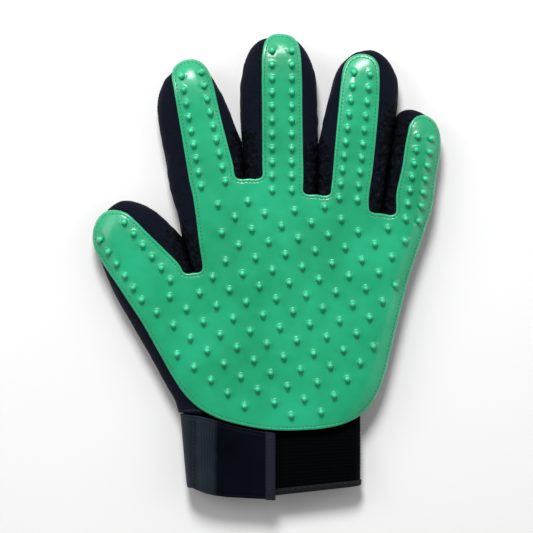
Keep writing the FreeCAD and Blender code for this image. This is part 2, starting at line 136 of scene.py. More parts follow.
RUBBER_RIGHT = [(20, -83.2), (32, -82), (42, -79.2), (50, -74.4), (56, -67),
                (60.6, -56), (63.4, -44.8), (67.8, -26.7), (72.3, -8.7), (78.9, 11.7),
                (82.4, 22)]
RUBBER_LEFT = [(-38, 38), (-36.4, 28), (-34.4, 12), (-33.1, 3.5)]
RUBBER_HEEL = [(-64.7, -26.7), (-54.4, -44.8), (-47.2, -57.4), (-41.6, -65.4),
               (-34.6, -71.9), (-26, -76.7), (-12, -80.9), (6, -83.4)]

JOINTS = {j["name"]: j for j in frame["joints"]}
LENGTHS = {"thumb": ("lower", "tip")}
THREE = ("lower", "middle", "tip")
BENDS = {2: ("root", "tip"), 3: ("root", "middle", "tip")}


class Digit:
    """A finger or the thumb, placed by its hinges: across and along axes and knuckle lines."""

    def __init__(self, name):
        self.name = name
        self.lengths = LENGTHS.get(name, THREE)
        bends = [JOINTS[f"{name}_{b}_bend"] for b in BENDS[len(self.lengths)]]
        self.root = np.array(bends[0]["pos_m"][:2]) / MM
        self.across = np.array(bends[0]["axis"][:2])
        self.along = np.array([-self.across[1], self.across[0]])
        self.cuts = [
            float((np.array(b["pos_m"][:2]) / MM - self.root) @ self.along) for b in bends
        ]

    def at(self, across, along):
        return self.root + self.across * across + self.along * along

    def uv(self, points):
        away = np.asarray(points) - self.root
        return away @ self.across, away @ self.along


ORDER = ("pinky", "ring", "middle", "index", "thumb")
digits = {name: Digit(name) for name in ORDER}


# ---------------------------- curves in plan
def lengths_along(path):
    """How far along a path each of its points is."""
    return np.concatenate([[0], np.cumsum(np.linalg.norm(np.diff(path, axis=0), axis=1))])


def at_lengths(path, where):
    """The places that are the given lengths along a path."""
    gone = lengths_along(path)
    return np.column_stack([np.interp(where, gone, path[:, k]) for k in (0, 1)])


def along_curve(points, step):
    """Points about every step along a smooth curve through the given ones."""
    points = np.asarray(points, float)
    chord = np.linalg.norm(np.diff(points, axis=0), axis=1)
    at = lengths_along(points)
    slope = np.diff(points, axis=0) / chord[:, None]
    share = (chord[:-1] / (chord[:-1] + chord[1:]))[:, None]
    tangent = np.vstack([slope[:1], slope[:-1] * (1 - share) + slope[1:] * share, slope[-1:]])
    count = max(int(round(at[-1] / step)), 2)
    where = np.linspace(0, at[-1], count + 1)
    i = np.clip(np.searchsorted(at, where, side="right") - 1, 0, len(chord) - 1)
    t = ((where - at[i]) / chord[i])[:, None]
    reach = chord[i][:, None]
    return (
        points[i] * (1 + 2 * t) * (1 - t) ** 2
        + points[i + 1] * t ** 2 * (3 - 2 * t)
        + tangent[i] * reach * t * (1 - t) ** 2
        - tangent[i + 1] * reach * t ** 2 * (1 - t)
    )


def round_curve(points, step):
    """The same round a closed curve; the last point isn't repeated."""
    overlap = 4  # points repeated at either end, so that the curve has no kink where it closes
    lead = list(points[-overlap:]) + list(points) + list(points[:overlap + 1])
    whole = along_curve(lead, step / 4)
    half = len(whole) // 2
    away = np.linalg.norm(whole - points[0], axis=1)
    ring = whole[np.argmin(away[:half]):half + np.argmin(away[half:])]
    length = lengths_along(ring)[-1]
    return at_lengths(ring, np.linspace(0, length, int(round(length / step)), endpoint=False))


def inward(points, closed):
    """Unit normals to the left of an anticlockwise curve."""
    if closed:
        tangent = np.roll(points, -1, axis=0) - np.roll(points, 1, axis=0)
    else:
        tangent = np.gradient(points, axis=0)
    tangent /= np.linalg.norm(tangent, axis=1)[:, None]
    return np.column_stack([-tangent[:, 1], tangent[:, 0]])


def inside(polygon, points):
    """Which of the points lie inside the polygon."""
    points = np.asarray(points)
    found = np.zeros(len(points), bool)
    for (x1, y1), (x2, y2) in zip(polygon, np.roll(polygon, -1, axis=0)):
        crosses = (y1 > points[:, 1]) != (y2 > points[:, 1])
        rise = y2 - y1 if y2 != y1 else 1.0
        found ^= crosses & (points[:, 0] < x1 + (points[:, 1] - y1) * (x2 - x1) / rise)
    return found


class Near:
    """Quick answers to how far a point is from a set of points."""

    def __init__(self, points):
        self.points = np.asarray(points, float)
        self.tree = kdtree.KDTree(len(self.points))
        for i, (x, y) in enumerate(self.points):
            self.tree.insert((x, y, 0), i)
        self.tree.balance()

    def find(self, x, y):
        _, index, distance = self.tree.find((x, y, 0))
        return index, distance


HEXAGON_ROW = 0.866   # from one row of a hexagon grid to the next, for a step of 1


def hexagon_grid(step, low, high):
    rows = np.arange(low[1], high[1], step * HEXAGON_ROW)
    columns = np.arange(low[0], high[0], step)
    return np.array([
        (x + (step / 2 if i % 2 else 0), y) for i, y in enumerate(rows) for x in columns
    ])


def circle(x, y, radius, angles):
    return [(x + radius * math.cos(a), y + radius * math.sin(a)) for a in angles]


def soft_noise(x, y, size, seed=0.0):
    return noise.noise(Vector((x / size, y / size, seed)))


# ---------------------------- the outlines
CREVICE_HALF = 0.04   # half the space between two fingers that touch
CREVICE_STEP = 1.2    # spacing of the outline's points there
OUTLINE_STEP = 1.15   # and elsewhere
NORMAL_SMOOTHING = 5  # rounds of evening out the directions in which the fabric turns in
ROUND_SMOOTHING = 9   # points over which one rounding changes into another


def vee_frame(left_name, right_name):
    """A V, its crotch, the direction down between them, and the one across, to the right."""
    vee, crotch = (np.array(p, float) for p in CREVICES[(left_name, right_name)])
    down = (crotch - vee) / np.linalg.norm(crotch - vee)
    return vee, crotch, down, np.array([-down[1], down[0]])


def crevice(left_name, right_name):
    """The outline down the side of the right digit, round the crotch and up the left one."""
    vee, crotch, down, side = vee_frame(left_name, right_name)
    steps = np.linspace(0, 1, int(np.linalg.norm(crotch - vee) / CREVICE_STEP))[1:]
    first = [vee + side * CREVICE_HALF + (crotch - vee) * s for s in steps]
    turn = [
        crotch + CREVICE_HALF * (side * math.cos(a) + down * math.sin(a))
        for a in np.linspace(0, math.pi, 9)[1:-1]
    ]
    last = [vee - side * CREVICE_HALF + (crotch - vee) * s for s in steps[::-1]]
    return np.array(first + turn + last)


def vee_sides(left_name, right_name):
    vee, _, _, side = vee_frame(left_name, right_name)
    return vee + side * CREVICE_HALF, vee - side * CREVICE_HALF


def placed(name, outline):
    """A digit's part of an outline, in the glove's own places."""
    return [digits[name].at(*p) for p in outline[name]]


BEFORE = {"pinky": FABRIC_RIGHT}
AFTER = {"index": FABRIC_LEFT, "thumb": FABRIC_HEEL}


def fabric_outline():
    """Points round the fabric from the mouth's right, and how far in each one rounds over.

    Also the points that aren't between two digits, and which of those are a V's ends.
    """
    runs, rounds, shown, tips = [], [], [], []
    for place, name in enumerate(ORDER):
        ends = [], []
        if place:
            ends[0].append(vee_sides(name, ORDER[place - 1])[1])
        if place < len(ORDER) - 1:
            ends[1].append(vee_sides(ORDER[place + 1], name)[0])
        path = ends[0] + list(BEFORE.get(name, [])) + placed(name, SLEEVES)
        path += list(AFTER.get(name, [])) + ends[1]
        run = along_curve(path, OUTLINE_STEP)
        runs.append(run)
        rounds.append(np.full(len(run), EDGE_ROUND))
        before = sum(len(part) for part in shown)
        shown.append(run)
        if place:
            tips.append(before)
        if place < len(ORDER) - 1:
            tips.append(before + len(run) - 1)
            gap = crevice(ORDER[place + 1], name)
            runs.append(gap)
            rounds.append(np.full(len(gap), CREVICE_ROUND))
    blur = np.ones(ROUND_SMOOTHING) / ROUND_SMOOTHING
    padded = np.pad(np.concatenate(rounds), ROUND_SMOOTHING // 2, mode="edge")
    return np.vstack(runs), np.convolve(padded, blur, "valid"), np.vstack(shown), tips


def rubber_outline():
    path = list(RUBBER_RIGHT)
    for place, name in enumerate(ORDER):
        path += placed(name, STRIPS)
        if name == "index":
            path += RUBBER_LEFT
        if place < len(ORDER) - 1:
            path += SLOTS[(ORDER[place + 1], name)]
    path += RUBBER_HEEL
    return round_curve(path, OUTLINE_STEP)


fabric_edge, fabric_round, fabric_shown, vee_tips = fabric_outline()
fabric_in = inward(fabric_edge, closed=False)
for _ in range(NORMAL_SMOOTHING):
    fabric_in[1:-1] = fabric_in[:-2] + fabric_in[1:-1] + fabric_in[2:]
    fabric_in /= np.linalg.norm(fabric_in, axis=1)[:, None]
fabric_in[0] = (-1, 0)
fabric_in[-1] = (1, 0)
rubber_edge = rubber_outline()
rubber_in = inward(rubber_edge, closed=True)
shown_in = inward(fabric_shown, closed=False)
near_shown = Near(fabric_shown)


# ---------------------------- heights
PAD_TOP = 18.4        # top of the rubber over the hand
WRAP_LEVEL = 8.2      # the level it would turn down to where it wraps an edge of the hand
WRAP_ROUND = 12.5     # how far in from that edge the turn starts
WRAP_OUT = 2.3        # how far outside the fabric the turn would end
CROWN = 0.55          # how much lower the rubber is at a strip's edge than on its middle
CROWN_HALF = 10.0     # half the width of a strip, for that
CROWN_MOST = 1.3      # where a strip is wider than that, it stops at this much of the crown
SWELL = 0.3           # gentle unevenness of the palm
SWELL_SIZE = 22       # from one swell to the next, about
DROOP = 2.4           # how much lower a fingertip lies
DROOP_REACH = 26.0    # how far from the tip that starts
REGION_BELOW = 7.0    # how far below its root a digit's shape already shows


def digit_at(x, y, below):
    """The digit a point belongs to, if it isn't in the palm."""
    for name, digit in digits.items():
        across, along = digit.uv((x, y))
        if along > below and within(name, x, y):
            return digit, across, along
    return None, 0.0, 0.0


def left_of(line, x, y):
    (vx, vy), (cx, cy) = line
    return (vx - cx) * (y - cy) - (vy - cy) * (x - cx)


def within(name, x, y):
    """Whether a point lies between the two lines that part a digit from its neighbours."""
    place = ORDER.index(name)
    if place and left_of(CREVICES[(name, ORDER[place - 1])], x, y) < 0:
        return False
    if place == len(ORDER) - 1:
        return True
    return left_of(CREVICES[(ORDER[place + 1], name)], x, y) < 0


def droop(x, y):
    """How much lower the end of a digit lies than its root."""
    digit, _, along = digit_at(x, y, 0)
    if not digit:
        return 0.0
    length = max(v for _, v in STRIPS[digit.name])
    return DROOP * min(max((along - length + DROOP_REACH) / DROOP_REACH, 0), 1) ** 2


def pad_height(x, y):
    """Height of the rubber's top: level, turning down where it wraps an edge of the hand."""
    index, inset = near_shown.find(x, y)
    if index not in vee_tips:
        inset = float((np.array((x, y)) - fabric_shown[index]) @ shown_in[index])
    inset = min(max((inset + WRAP_OUT) / WRAP_ROUND, 0.0), 1.0)
    drop = 1 - math.sqrt(1 - (1 - inset) ** 2)
    digit, across, along = digit_at(x, y, -REGION_BELOW)
    crown = 0.0
    if digit:
        share = min((along + REGION_BELOW) / (2 * REGION_BELOW), 1.0)
        crown = CROWN * share * min((across / CROWN_HALF) ** 2, CROWN_MOST)
    level = PAD_TOP - crown - droop(x, y) - SWELL * (0.5 + soft_noise(x, y, SWELL_SIZE))
    return level - drop * (level - WRAP_LEVEL)


# ---------------------------- meshes
FILL_INSIDE = 1       # the kind of triangulation that keeps what is inside the outline
FILL_TOUCHING = 1e-5  # points closer together than this become one


class Skin:
    """Points in millimetres and the faces over them, gathered before they become a mesh."""

    def __init__(self):
        self.points, self.faces = [], []
        self.second = set()  # faces that take the piece's second material

    def add(self, points):
        start = len(self.points)
        self.points.extend([tuple(p) for p in points])
        return list(range(start, len(self.points)))

    def band(self, low, high, closed=True):
        """Quads between two rows of points."""
        pairs = list(zip(low, high))
        follow = pairs[1:] + pairs[:1] if closed else pairs[1:]
        self.faces += [(a, c, d, b) for (a, b), (c, d) in zip(pairs, follow)]

    def rows(self, rows, closed=True):
        made = [self.add(row) for row in rows]
        for low, high in zip(made, made[1:]):
            self.band(low, high, closed)
        return made

    def cap(self, row, flip=False):
        self.faces.append(tuple(row[::-1] if flip else row))

    def plan(self, indices):
        """Some of the points, as places in plan."""
        return np.array([self.points[i][:2] for i in indices])

    def fill(self, rim, loops, free, height, drop_inside=(), radius=0.0):
        """Triangles inside the rim, through the free points, with the loops' insides left open."""
        known = list(rim) + [i for loop in loops for i in loop]
        flat = [Vector(self.points[i][:2]) for i in known] + [Vector(p) for p in free]
        edges = [(i, (i + 1) % len(rim)) for i in range(len(rim))]
        start = len(rim)
        for loop in loops:
            edges += [(start + i, start + (i + 1) % len(loop)) for i in range(len(loop))]
            start += len(loop)
        found, _, faces, origins, _, _ = delaunay_2d_cdt(
            flat, edges, [], FILL_INSIDE, FILL_TOUCHING
        )
        index = []
        for place, origin in zip(found, origins):
            if origin and origin[0] < len(known):
                index.append(known[origin[0]])
            else:
                x, y = place
                index += self.add([(x, y, height(x, y))])
        holes = Near(drop_inside) if len(drop_inside) else None
        for face in faces:
            x, y = np.mean([found[i] for i in face], axis=0)
            if not holes or holes.find(x, y)[1] > radius:
                self.faces.append(tuple(index[i] for i in face))

    def finished(self):
        """The skin as a mesh in metres, with its faces turned outward."""
        made = bmesh.new()
        verts = [made.verts.new([c * MM for c in p]) for p in self.points]
        for place, face in enumerate(self.faces):
            if len(set(face)) > 2:
                new = made.faces.new([verts[i] for i in face])
                new.material_index = int(place in self.second)
        bmesh.ops.recalc_face_normals(made, faces=made.faces)
        top = max(made.faces, key=lambda f: f.calc_center_median().z)
        if top.normal.z < 0:
            bmesh.ops.reverse_faces(made, faces=made.faces)
        return made


def skin_of(rows, closed=True, start=False, end=False):
    """A skin through rows of points, capped at its start or end where that is asked for."""
    skin = Skin()
    made = skin.rows(rows, closed)
    if start:
        skin.cap(made[0])
    if end:
        skin.cap(made[-1], flip=start)
    return skin


RING = np.linspace(0, math.tau, 7)[:-1]  # the directions of the six corners of a thin cord


# ---------------------------- materials
WAVE_LENGTH = 0.314   # one wave of Blender's wave texture at a scale of 1
BEND_RADIUS = 8.4     # of the strap's turn round the thumb side, and the level of its middle
paints = {}           # every material made here, by name


class Paint:
    """A procedural material: nodes are added by type, and inputs are set by name."""

    def __init__(self, name):
        self.material = paints[name] = bpy.data.materials.new(name)
        self.material.use_nodes = True
        self.tree = self.material.node_tree
        self.shader = self.tree.nodes["Principled BSDF"]
        self.where = self.node("TexCoord").outputs["Object"]

    def node(self, kind, **settings):
        made = self.tree.nodes.new("ShaderNode" + kind)
        for key, value in settings.items():
            setattr(made, key, value)
        return made

    def put(self, socket, value):
        """Links an input to another node's output, or gives it a value."""
        if isinstance(value, bpy.types.NodeSocket):
            self.tree.links.new(value, socket)
        else:
            socket.default_value = value

    def feed(self, node, **values):
        """Sets a node's inputs; an underscore stands for a space in an input's name."""
        for key, value in values.items():
            self.put(node.inputs[key.replace("_", " ")], value)

    def clouds(self, scale, detail=4.0, roughness=0.6):
        made = self.node("TexNoise")
        self.feed(made, Vector=self.where, Scale=scale, Detail=detail, Roughness=roughness)
        return made.outputs["Fac"]

    def cells(self, scale):
        made = self.node("TexVoronoi")
        self.feed(made, Vector=self.where, Scale=scale)
        return made.outputs["Distance"]

    def axes(self):
        """The place's x, y and z."""
        made = self.node("SeparateXYZ")
        self.feed(made, Vector=self.where)
        return made.outputs

    def wrapped(self, level):
        """Places for a band round the hand's side: its distance from a level adds to x."""
        place = self.axes()
        rise = self.math("ABSOLUTE", self.math("SUBTRACT", place["Z"], level * MM))
        joined = self.node("CombineXYZ")
        self.feed(joined, X=self.math("ADD", place["X"], rise), Y=place["Y"])
        return joined.outputs["Vector"]

    def ribs(self, axis, pitch, waver=0.0, turn=0.0, where=None):
        """Stripes across one axis, a given number of millimetres apart."""
        turned = self.node("Mapping")
        self.feed(turned, Vector=where or self.where, Rotation=(0, 0, math.radians(turn)))
        made = self.node("TexWave", wave_type="BANDS", bands_direction=axis)
        self.feed(made, Vector=turned.outputs["Vector"], Scale=WAVE_LENGTH / (pitch * MM))
        self.feed(made, Distortion=waver, Detail_Scale=2.0)
        return made.outputs["Fac"]

    def math(self, operation, first, second=0.0):
        made = self.node("Math", operation=operation)
        self.put(made.inputs[0], first)
        self.put(made.inputs[1], second)
        return made.outputs[0]

    def scaled(self, value, gain, base):
        return self.math("ADD", self.math("MULTIPLY", value, gain), base)

    def colours(self, factor, *stops):
        made = self.node("ValToRGB")
        self.feed(made, Fac=factor)
        ramp = made.color_ramp.elements
        while len(ramp) < len(stops):
            ramp.new(0.5)
        for element, (place, colour) in zip(ramp, stops):
            element.position = place
            element.color = (*colour, 1)
        return made.outputs["Color"]

    def finish(self, colour, rough, *layers, **values):
        """Sets the colour, the roughness as (pattern, gain, base), the relief and plain values.

        The relief comes in layers, the broadest first: a pattern and its depth in millimetres.
        """
        self.feed(self.shader, Base_Color=colour, Roughness=self.scaled(*rough), **values)
        under = None
        for height, depth in layers:
            bump = self.node("Bump")
            self.feed(bump, Strength=1.0, Distance=depth * MM, Height=height)
            if under:
                self.feed(bump, Normal=under)
            under = bump.outputs["Normal"]
        if under:
            self.feed(self.shader, Normal=under)


def paint_rubber():
    paint = Paint("rubber_pad")
    cloud = paint.clouds(38, 3, 0.55)
    paint.finish(
        paint.colours(cloud, (0.3, (0.007, 0.255, 0.108)), (0.7, (0.014, 0.365, 0.178))),
        (paint.clouds(160), 0.16, 0.26),
        (paint.clouds(90, 3), 0.10), (paint.clouds(400, 3), 0.035), (paint.clouds(1300, 2), 0.02),
        IOR=1.47, Coat_Weight=0.45, Coat_Roughness=0.26, Subsurface_Weight=0.06,
        Subsurface_Scale=0.004, Subsurface_Radius=(0.3, 1.0, 0.6), Specular_IOR_Level=0.42,
    )


def paint_nubs():
    """The nubs' tips: less glossy than the sheet they stand on, and painted lighter as a painted
    highlight.
    """
    paint = Paint("nub_rubber")
    cloud = paint.clouds(150, 3)
    # Painted highlight: the tips' colour is lighter than the pad's.
    paint.finish(
        paint.colours(cloud, (0.3, (0.020, 0.42, 0.20)), (0.7, (0.040, 0.60, 0.31))),
        (cloud, 0.1, 0.34), (paint.clouds(900, 2), 0.02),
        IOR=1.47,
    )


def paint_knit():
    paint = Paint("stretch_fabric")
    wales = paint.math("MULTIPLY", *(paint.ribs("X", 0.9, 1.2, turn) for turn in (45, -45)))
    lumps = paint.clouds(420, 3)
    tone = paint.scaled(wales, 0.55, paint.math("MULTIPLY", lumps, 0.5))
    paint.finish(
        paint.colours(tone, (0.2, (0.0010, 0.0017, 0.0045)), (0.75, (0.0052, 0.0088, 0.0215))),
        (lumps, 0.2, 0.62), (paint.clouds(130, 4), 0.55), (wales, 0.22),
        Sheen_Weight=0.02, Specular_IOR_Level=0.05,
    )


def paint_gusset():
    """Bunched looped fabric in painted shade: nearly black, with small lighter specks of painted
    glint on the lumps' tops.
    """
    paint = Paint("gusset_fabric")
    crests_with_painted_glints = paint.math("POWER", paint.clouds(480, 5, 0.65), 2.2)
    # Painted shade and glints: nearly black near the gaps, lighter on the lumps' tops.
    paint.finish(
        paint.colours(
            crests_with_painted_glints, (0.14, (0.0002, 0.0004, 0.0009)), (0.24, (0.0009, 0.0016, 0.0036)),
            (0.42, (0.0080, 0.0120, 0.0225)),
        ),
        (crests_with_painted_glints, 0.3, 0.55), (paint.clouds(1500, 2), 0.08), (crests_with_painted_glints, 1.4),
        Specular_IOR_Level=0.05,
    )


def paint_mesh():
    paint = Paint("back_mesh")
    holes = paint.cells(620)
    tone = paint.scaled(paint.clouds(90), 0.25, holes)
    paint.finish(
        paint.colours(tone, (0.25, (0.0008, 0.0010, 0.0020)), (0.75, (0.0125, 0.0150, 0.0245))),
        (holes, 0.25, 0.6), (paint.clouds(150, 3), 0.2), (holes, 0.5),
        Sheen_Weight=0.05, Specular_IOR_Level=0.12,
    )


def paint_elastic():
    paint = Paint("ribbed_elastic")
    weave = paint.math("MULTIPLY", paint.ribs("X", 0.75, 0.6), paint.ribs("Y", 0.8, 0.3))
    paint.finish(
        paint.colours(weave, (0.1, (0.0001, 0.0003, 0.0005)), (0.8, (0.0010, 0.0020, 0.0028))),
        (weave, 0.2, 0.6), (weave, 0.3), Specular_IOR_Level=0.025,
    )


def paint_binding():
    paint = Paint("edge_binding")
    twill = paint.ribs("DIAGONAL", 0.7, 0.4)
    paint.finish(
        paint.colours(twill, (0.2, (0.0010, 0.0013, 0.0024)), (0.9, (0.0052, 0.0062, 0.0100))),
        (paint.clouds(300), 0.2, 0.55), (twill, 0.2),
        Sheen_Weight=0.03, Specular_IOR_Level=0.15,
    )


def paint_webbing():
    """Glossy webbing with fine lines across it, and a painted reflection: a lighter band by the
    thumb side, painted into its colour.
    """
    paint = Paint("strap_webbing")
    lines = paint.ribs("X", 0.8, 0.25, where=paint.wrapped(BEND_RADIUS))
    sweep = paint.clouds(26, 2)
    across = paint.scaled(paint.clouds(60, 2), 0.004, paint.axes()["X"])
    # Painted reflection: a lighter band across x by the thumb side, painted into the colour.
    band = paint.colours(
        paint.scaled(across, 20.0, 0.95),
        *((place, (grey,) * 3) for place, grey in (
            (0.04, 0.0), (0.16, 0.8), (0.24, 0.45), (0.30, 1.0), (0.44, 0.75), (0.49, 0.0),
        )),
    )
    plain = paint.colours(
        paint.scaled(lines, 0.35, sweep),
        (0.35, (0.0003, 0.0007, 0.0022)), (0.95, (0.0010, 0.0020, 0.0060)),
    )
    # The lit copy of the webbing's colour, for the painted reflection.
    painted_sheen_colour = paint.colours(
        paint.scaled(lines, 0.5, sweep),
        (0.35, (0.0060, 0.0088, 0.0135)), (0.95, (0.0220, 0.0290, 0.0400)),
    )
    painted_sheen_mix = paint.node("Mix", data_type="RGBA")
    paint.feed(painted_sheen_mix, Factor=band, A=plain, B=painted_sheen_colour)
    paint.finish(
        painted_sheen_mix.outputs["Result"],
        (sweep, 0.22, 0.34), (paint.clouds(60, 3), 0.3), (lines, 0.05),
        Specular_IOR_Level=0.06,
    )


def paint_hem():
    paint = Paint("strap_hem")
    weave = paint.math("MULTIPLY", paint.ribs("X", 0.6, 0.4), paint.ribs("Y", 0.9, 0.4))
    paint.finish(
        paint.colours(weave, (0.1, (0.0060, 0.0075, 0.0145)), (0.9, (0.0180, 0.0215, 0.0380))),
        (paint.clouds(500), 0.2, 0.5), (weave, 0.16),
        Sheen_Weight=0.02, Specular_IOR_Level=0.1,
    )


def paint_loops():
    paint = Paint("loop_fabric")
    fuzz = paint.clouds(1400, 4, 0.7)
    paint.finish(
        paint.colours(fuzz, (0.3, (0.004, 0.005, 0.007)), (0.8, (0.022, 0.025, 0.032))),
        (fuzz, 0.15, 0.75), (fuzz, 0.4), Sheen_Weight=0.6, Sheen_Roughness=0.4,
    )


def paint_hooks():
    paint = Paint("hook_plastic")
    cloud = paint.clouds(220, 3)
    paint.finish(
        paint.colours(cloud, (0.3, (0.006, 0.007, 0.009)), (0.8, (0.016, 0.018, 0.022))),
        (cloud, 0.2, 0.3), (cloud, 0.05), IOR=1.5,
    )


def paint_thread(name, dark, light):
    paint = Paint(name)
    twist = paint.ribs("DIAGONAL", 0.35, 0.3)
    paint.finish(
        paint.colours(twist, (0.2, dark), (0.9, light)),
        (paint.clouds(900), 0.2, 0.45), (twist, 0.06),
        Sheen_Weight=0.03, Specular_IOR_Level=0.25,
    )


def paint_table():
    paint = Paint("table")
    cloud = paint.clouds(6, 2)
    paint.finish(
        paint.colours(cloud, (0.2, (0.73, 0.73, 0.73)), (0.9, (0.76, 0.76, 0.76))),
        (cloud, 0.1, 0.7),
    )


for paint_one in (
    paint_rubber, paint_knit, paint_mesh, paint_elastic, paint_binding, paint_webbing,
    paint_hem, paint_loops, paint_hooks, paint_nubs, paint_gusset, paint_table,
):
    paint_one()
paint_thread("green_thread", (0.006, 0.13, 0.055), (0.02, 0.30, 0.14))
paint_thread("black_thread", (0.0010, 0.0013, 0.0022), (0.0075, 0.0090, 0.0135))


# ---------------------------- pieces of the glove
ROW_PITCH = 7.1       # from a hinge back to the middle of the nearest gap between nub rows
ROOT_BEND = 7.0       # length over which a digit's root bends
KNUCKLE_BEND = 5.0    # half the length over which a knuckle bends
CUT_CLOSE = 1e-6      # points closer to a cut than this, in metres, are taken to be on it


def seams_of(digit):
    """Where a digit's skin is parted along its length, always between two rows of nubs."""
    return [FIRST_SEAM] + [cut - ROW_PITCH for cut in digit.cuts[1:]]


def neighbours(face):
    return {other for edge in face.edges for other in edge.link_faces}


def patches(owner):
    """The connected patches of faces that have one owner, largest first."""
    seen, found = set(), []
    for start in owner:
        if start in seen:
            continue
        seen.add(start)
        patch = [start]
        for face in patch:
            for other in neighbours(face):
                if other not in seen and owner[other] == owner[start]:
                    seen.add(other)
                    patch.append(other)
        found.append(patch)
    return sorted(found, key=len, reverse=True)


def owners(made):
    """The digit whose skin each face is, down to a little below the digit's root.

    A face that bulges over the line between two digits belongs with the faces round it.
    """
    owner = {}
    for face in made.faces:
        x, y, _ = face.calc_center_median() / MM
        digit = digit_at(x, y, FIRST_SEAM)[0] or digit_at(x, y, FIRST_SEAM - REGION_BELOW)[0]
        owner[face] = digit.name if digit else "palm"
    astray = True
    while astray:
        astray, met = None, {"palm"}
        for patch in patches(owner):
            name = owner[patch[0]]
            near = {other for face in patch for other in neighbours(face)}
            beside = sorted(owner[other] for other in near if owner[other] != name)
            if name != "palm" and name in met and beside:
                astray = patch
                break
            met.add(name)
        for face in astray or ():
            owner[face] = max(sorted(set(beside)), key=beside.count)
    return owner


def parted(skin):
    """The skin as one mesh per piece: the palm, and each length of each digit."""
    made = skin.finished()
    mark = made.faces.layers.int.new("owner")
    names = ["palm", *digits]
    for face, name in owners(made).items():
        face[mark] = names.index(name)
    for name, digit in digits.items():
        for seam in seams_of(digit):
            chosen = [face for face in made.faces if names[face[mark]] == name]
            parts = set(chosen)
            parts.update(edge for face in chosen for edge in face.edges)
            parts.update(vert for face in chosen for vert in face.verts)
            bmesh.ops.bisect_plane(
                made, geom=list(parts), dist=CUT_CLOSE,
                plane_co=(*digit.at(0, seam) * MM, 0), plane_no=(*digit.along, 0),
            )
    made.normal_update()
    made.verts.index_update()
    groups = {}
    for face in made.faces:
        key = name = names[face[mark]]
        if name != "palm":
            x, y, _ = face.calc_center_median() / MM
            _, along = digits[name].uv((x, y))
            place = sum(along > seam for seam in seams_of(digits[name])) - 1
            key = "palm" if place < 0 else f"{name}_{digits[name].lengths[place]}"
        groups.setdefault(key, []).append(face)
    meshes = {}
    for key, faces in groups.items():
        number, verts = {}, []
        for face in faces:
            for vert in face.verts:
                if vert not in number:
                    number[vert] = len(verts)
                    verts.append(vert)
        mesh = bpy.data.meshes.new(key)
        mesh.from_pydata(
            [vert.co for vert in verts], [], [[number[v] for v in f.verts] for f in faces]
        )
        mesh.normals_split_custom_set_from_vertices([vert.normal for vert in verts])
        mesh.polygons.foreach_set("material_index", [face.material_index for face in faces])
        meshes[key] = mesh
    made.free()
    return meshes


def bent(piece, key):
    """The palm's pieces ride with the palm; a digit's piece only has its placing baked in."""
    if key == "palm":
        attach(piece, "palm")
        return
    name, length = key.rsplit("_", 1)
    digit = digits[name]
    place = digit.lengths.index(length)
    start = digit.cuts[place] - (KNUCKLE_BEND if place else -FIRST_SEAM)
    end = digit.cuts[place] + (KNUCKLE_BEND if place else ROOT_BEND)
    ends = [(*digit.at(0, along) * MM, 0) for along in (start, end)]
    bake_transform(piece)


def show(mesh, name, *looks):
    made = bpy.data.objects.new(name, mesh)
    bpy.context.scene.collection.objects.link(made)
    for look in looks:
        mesh.materials.append(paints[look])
    return made


def spread(skin, suffix, looks, replaced=""):
    """Shows a skin piece by piece; the palm's pieces ride with the palm."""
    for key, mesh in sorted(parted(skin).items()):
        piece = show(mesh, f"{key}_{suffix}", *looks)
        bent(piece, key)
        if replaced:
            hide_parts(f"{key}_{replaced}")


# ---------------------------- fabric
FABRIC_TOP = 16.9     # level of the fabric under the rubber
FABRIC_LOW = 0.12     # and on the table
SEAM_LEVEL = 6.0      # and where the back is sewn to the side walls
SEAM_TURN = math.degrees(math.asin((SEAM_LEVEL - MID_HEIGHT) / HALF_THICK))
SIDE_TURNS = [SEAM_TURN, -8, 2, 12, 22, 33, 44, 55, 66, 78, 90]
BACK_TURNS = [SEAM_TURN, -27, -38, -50, -63, -76, -90]
PUCKER_OUT = 0.6      # how far out a wrinkle in the side walls may reach
PUCKER_LIFT = 0.25    # how much of a wrinkle's depth goes up the wall
MOUTH_PLAIN = 12      # length beside the mouth over which the wrinkles fade
CRUMPLE = 2.4         # roughness of the fabric that is bunched up between two digits
CRUMPLE_SIZE = 2.9    # from one of its lumps to the next, about
CRUMPLE_FROM = 20     # the angle on the side wall above which it shows
BUNCHED_REACH = 10.0  # how far from the gap between two digits the fabric is bunched up
BUNCHED_STEP = 1.3    # spacing of the fabric's points there
BUNCHED_CLEAR = 0.9   # how far they keep from the rim
PLAIN_STEP = 3.0      # the same two for the points elsewhere
PLAIN_CLEAR = 1.2
GUSSET_REACH = 7.0    # how far from that gap the looped fabric of the gussets shows, painted darker as shade
GUSSET_RAGGED = 5.0   # how far its ragged border may run in and out
GUSSET_RAG = 2.5      # from one rag to the next, about


def pucker(x, y, level):
    """Wrinkles that run mostly up and down a side wall."""
    fine = soft_noise(x, y, 5.5, level / 14)
    broad = soft_noise(x, y, 15, 5 + level / 20)
    return fine * 0.45 + broad * 0.75


near_gap = Near(fabric_edge[fabric_round < (CREVICE_ROUND + EDGE_ROUND) / 2])


def side_height(x, y):
    """The fabric under and between the rubber strips: level, and lumpy near the gaps."""
    _, distance = near_gap.find(x, y)
    share = min(max((BUNCHED_REACH - distance) / BUNCHED_REACH, 0.0), 1.0)
    lump = soft_noise(x, y, CRUMPLE_SIZE, 1.0) + 0.5 * soft_noise(x, y, 1, 4.0)
    return FABRIC_TOP - droop(x, y) + CRUMPLE * share * min(lump - 0.1, 0.0)


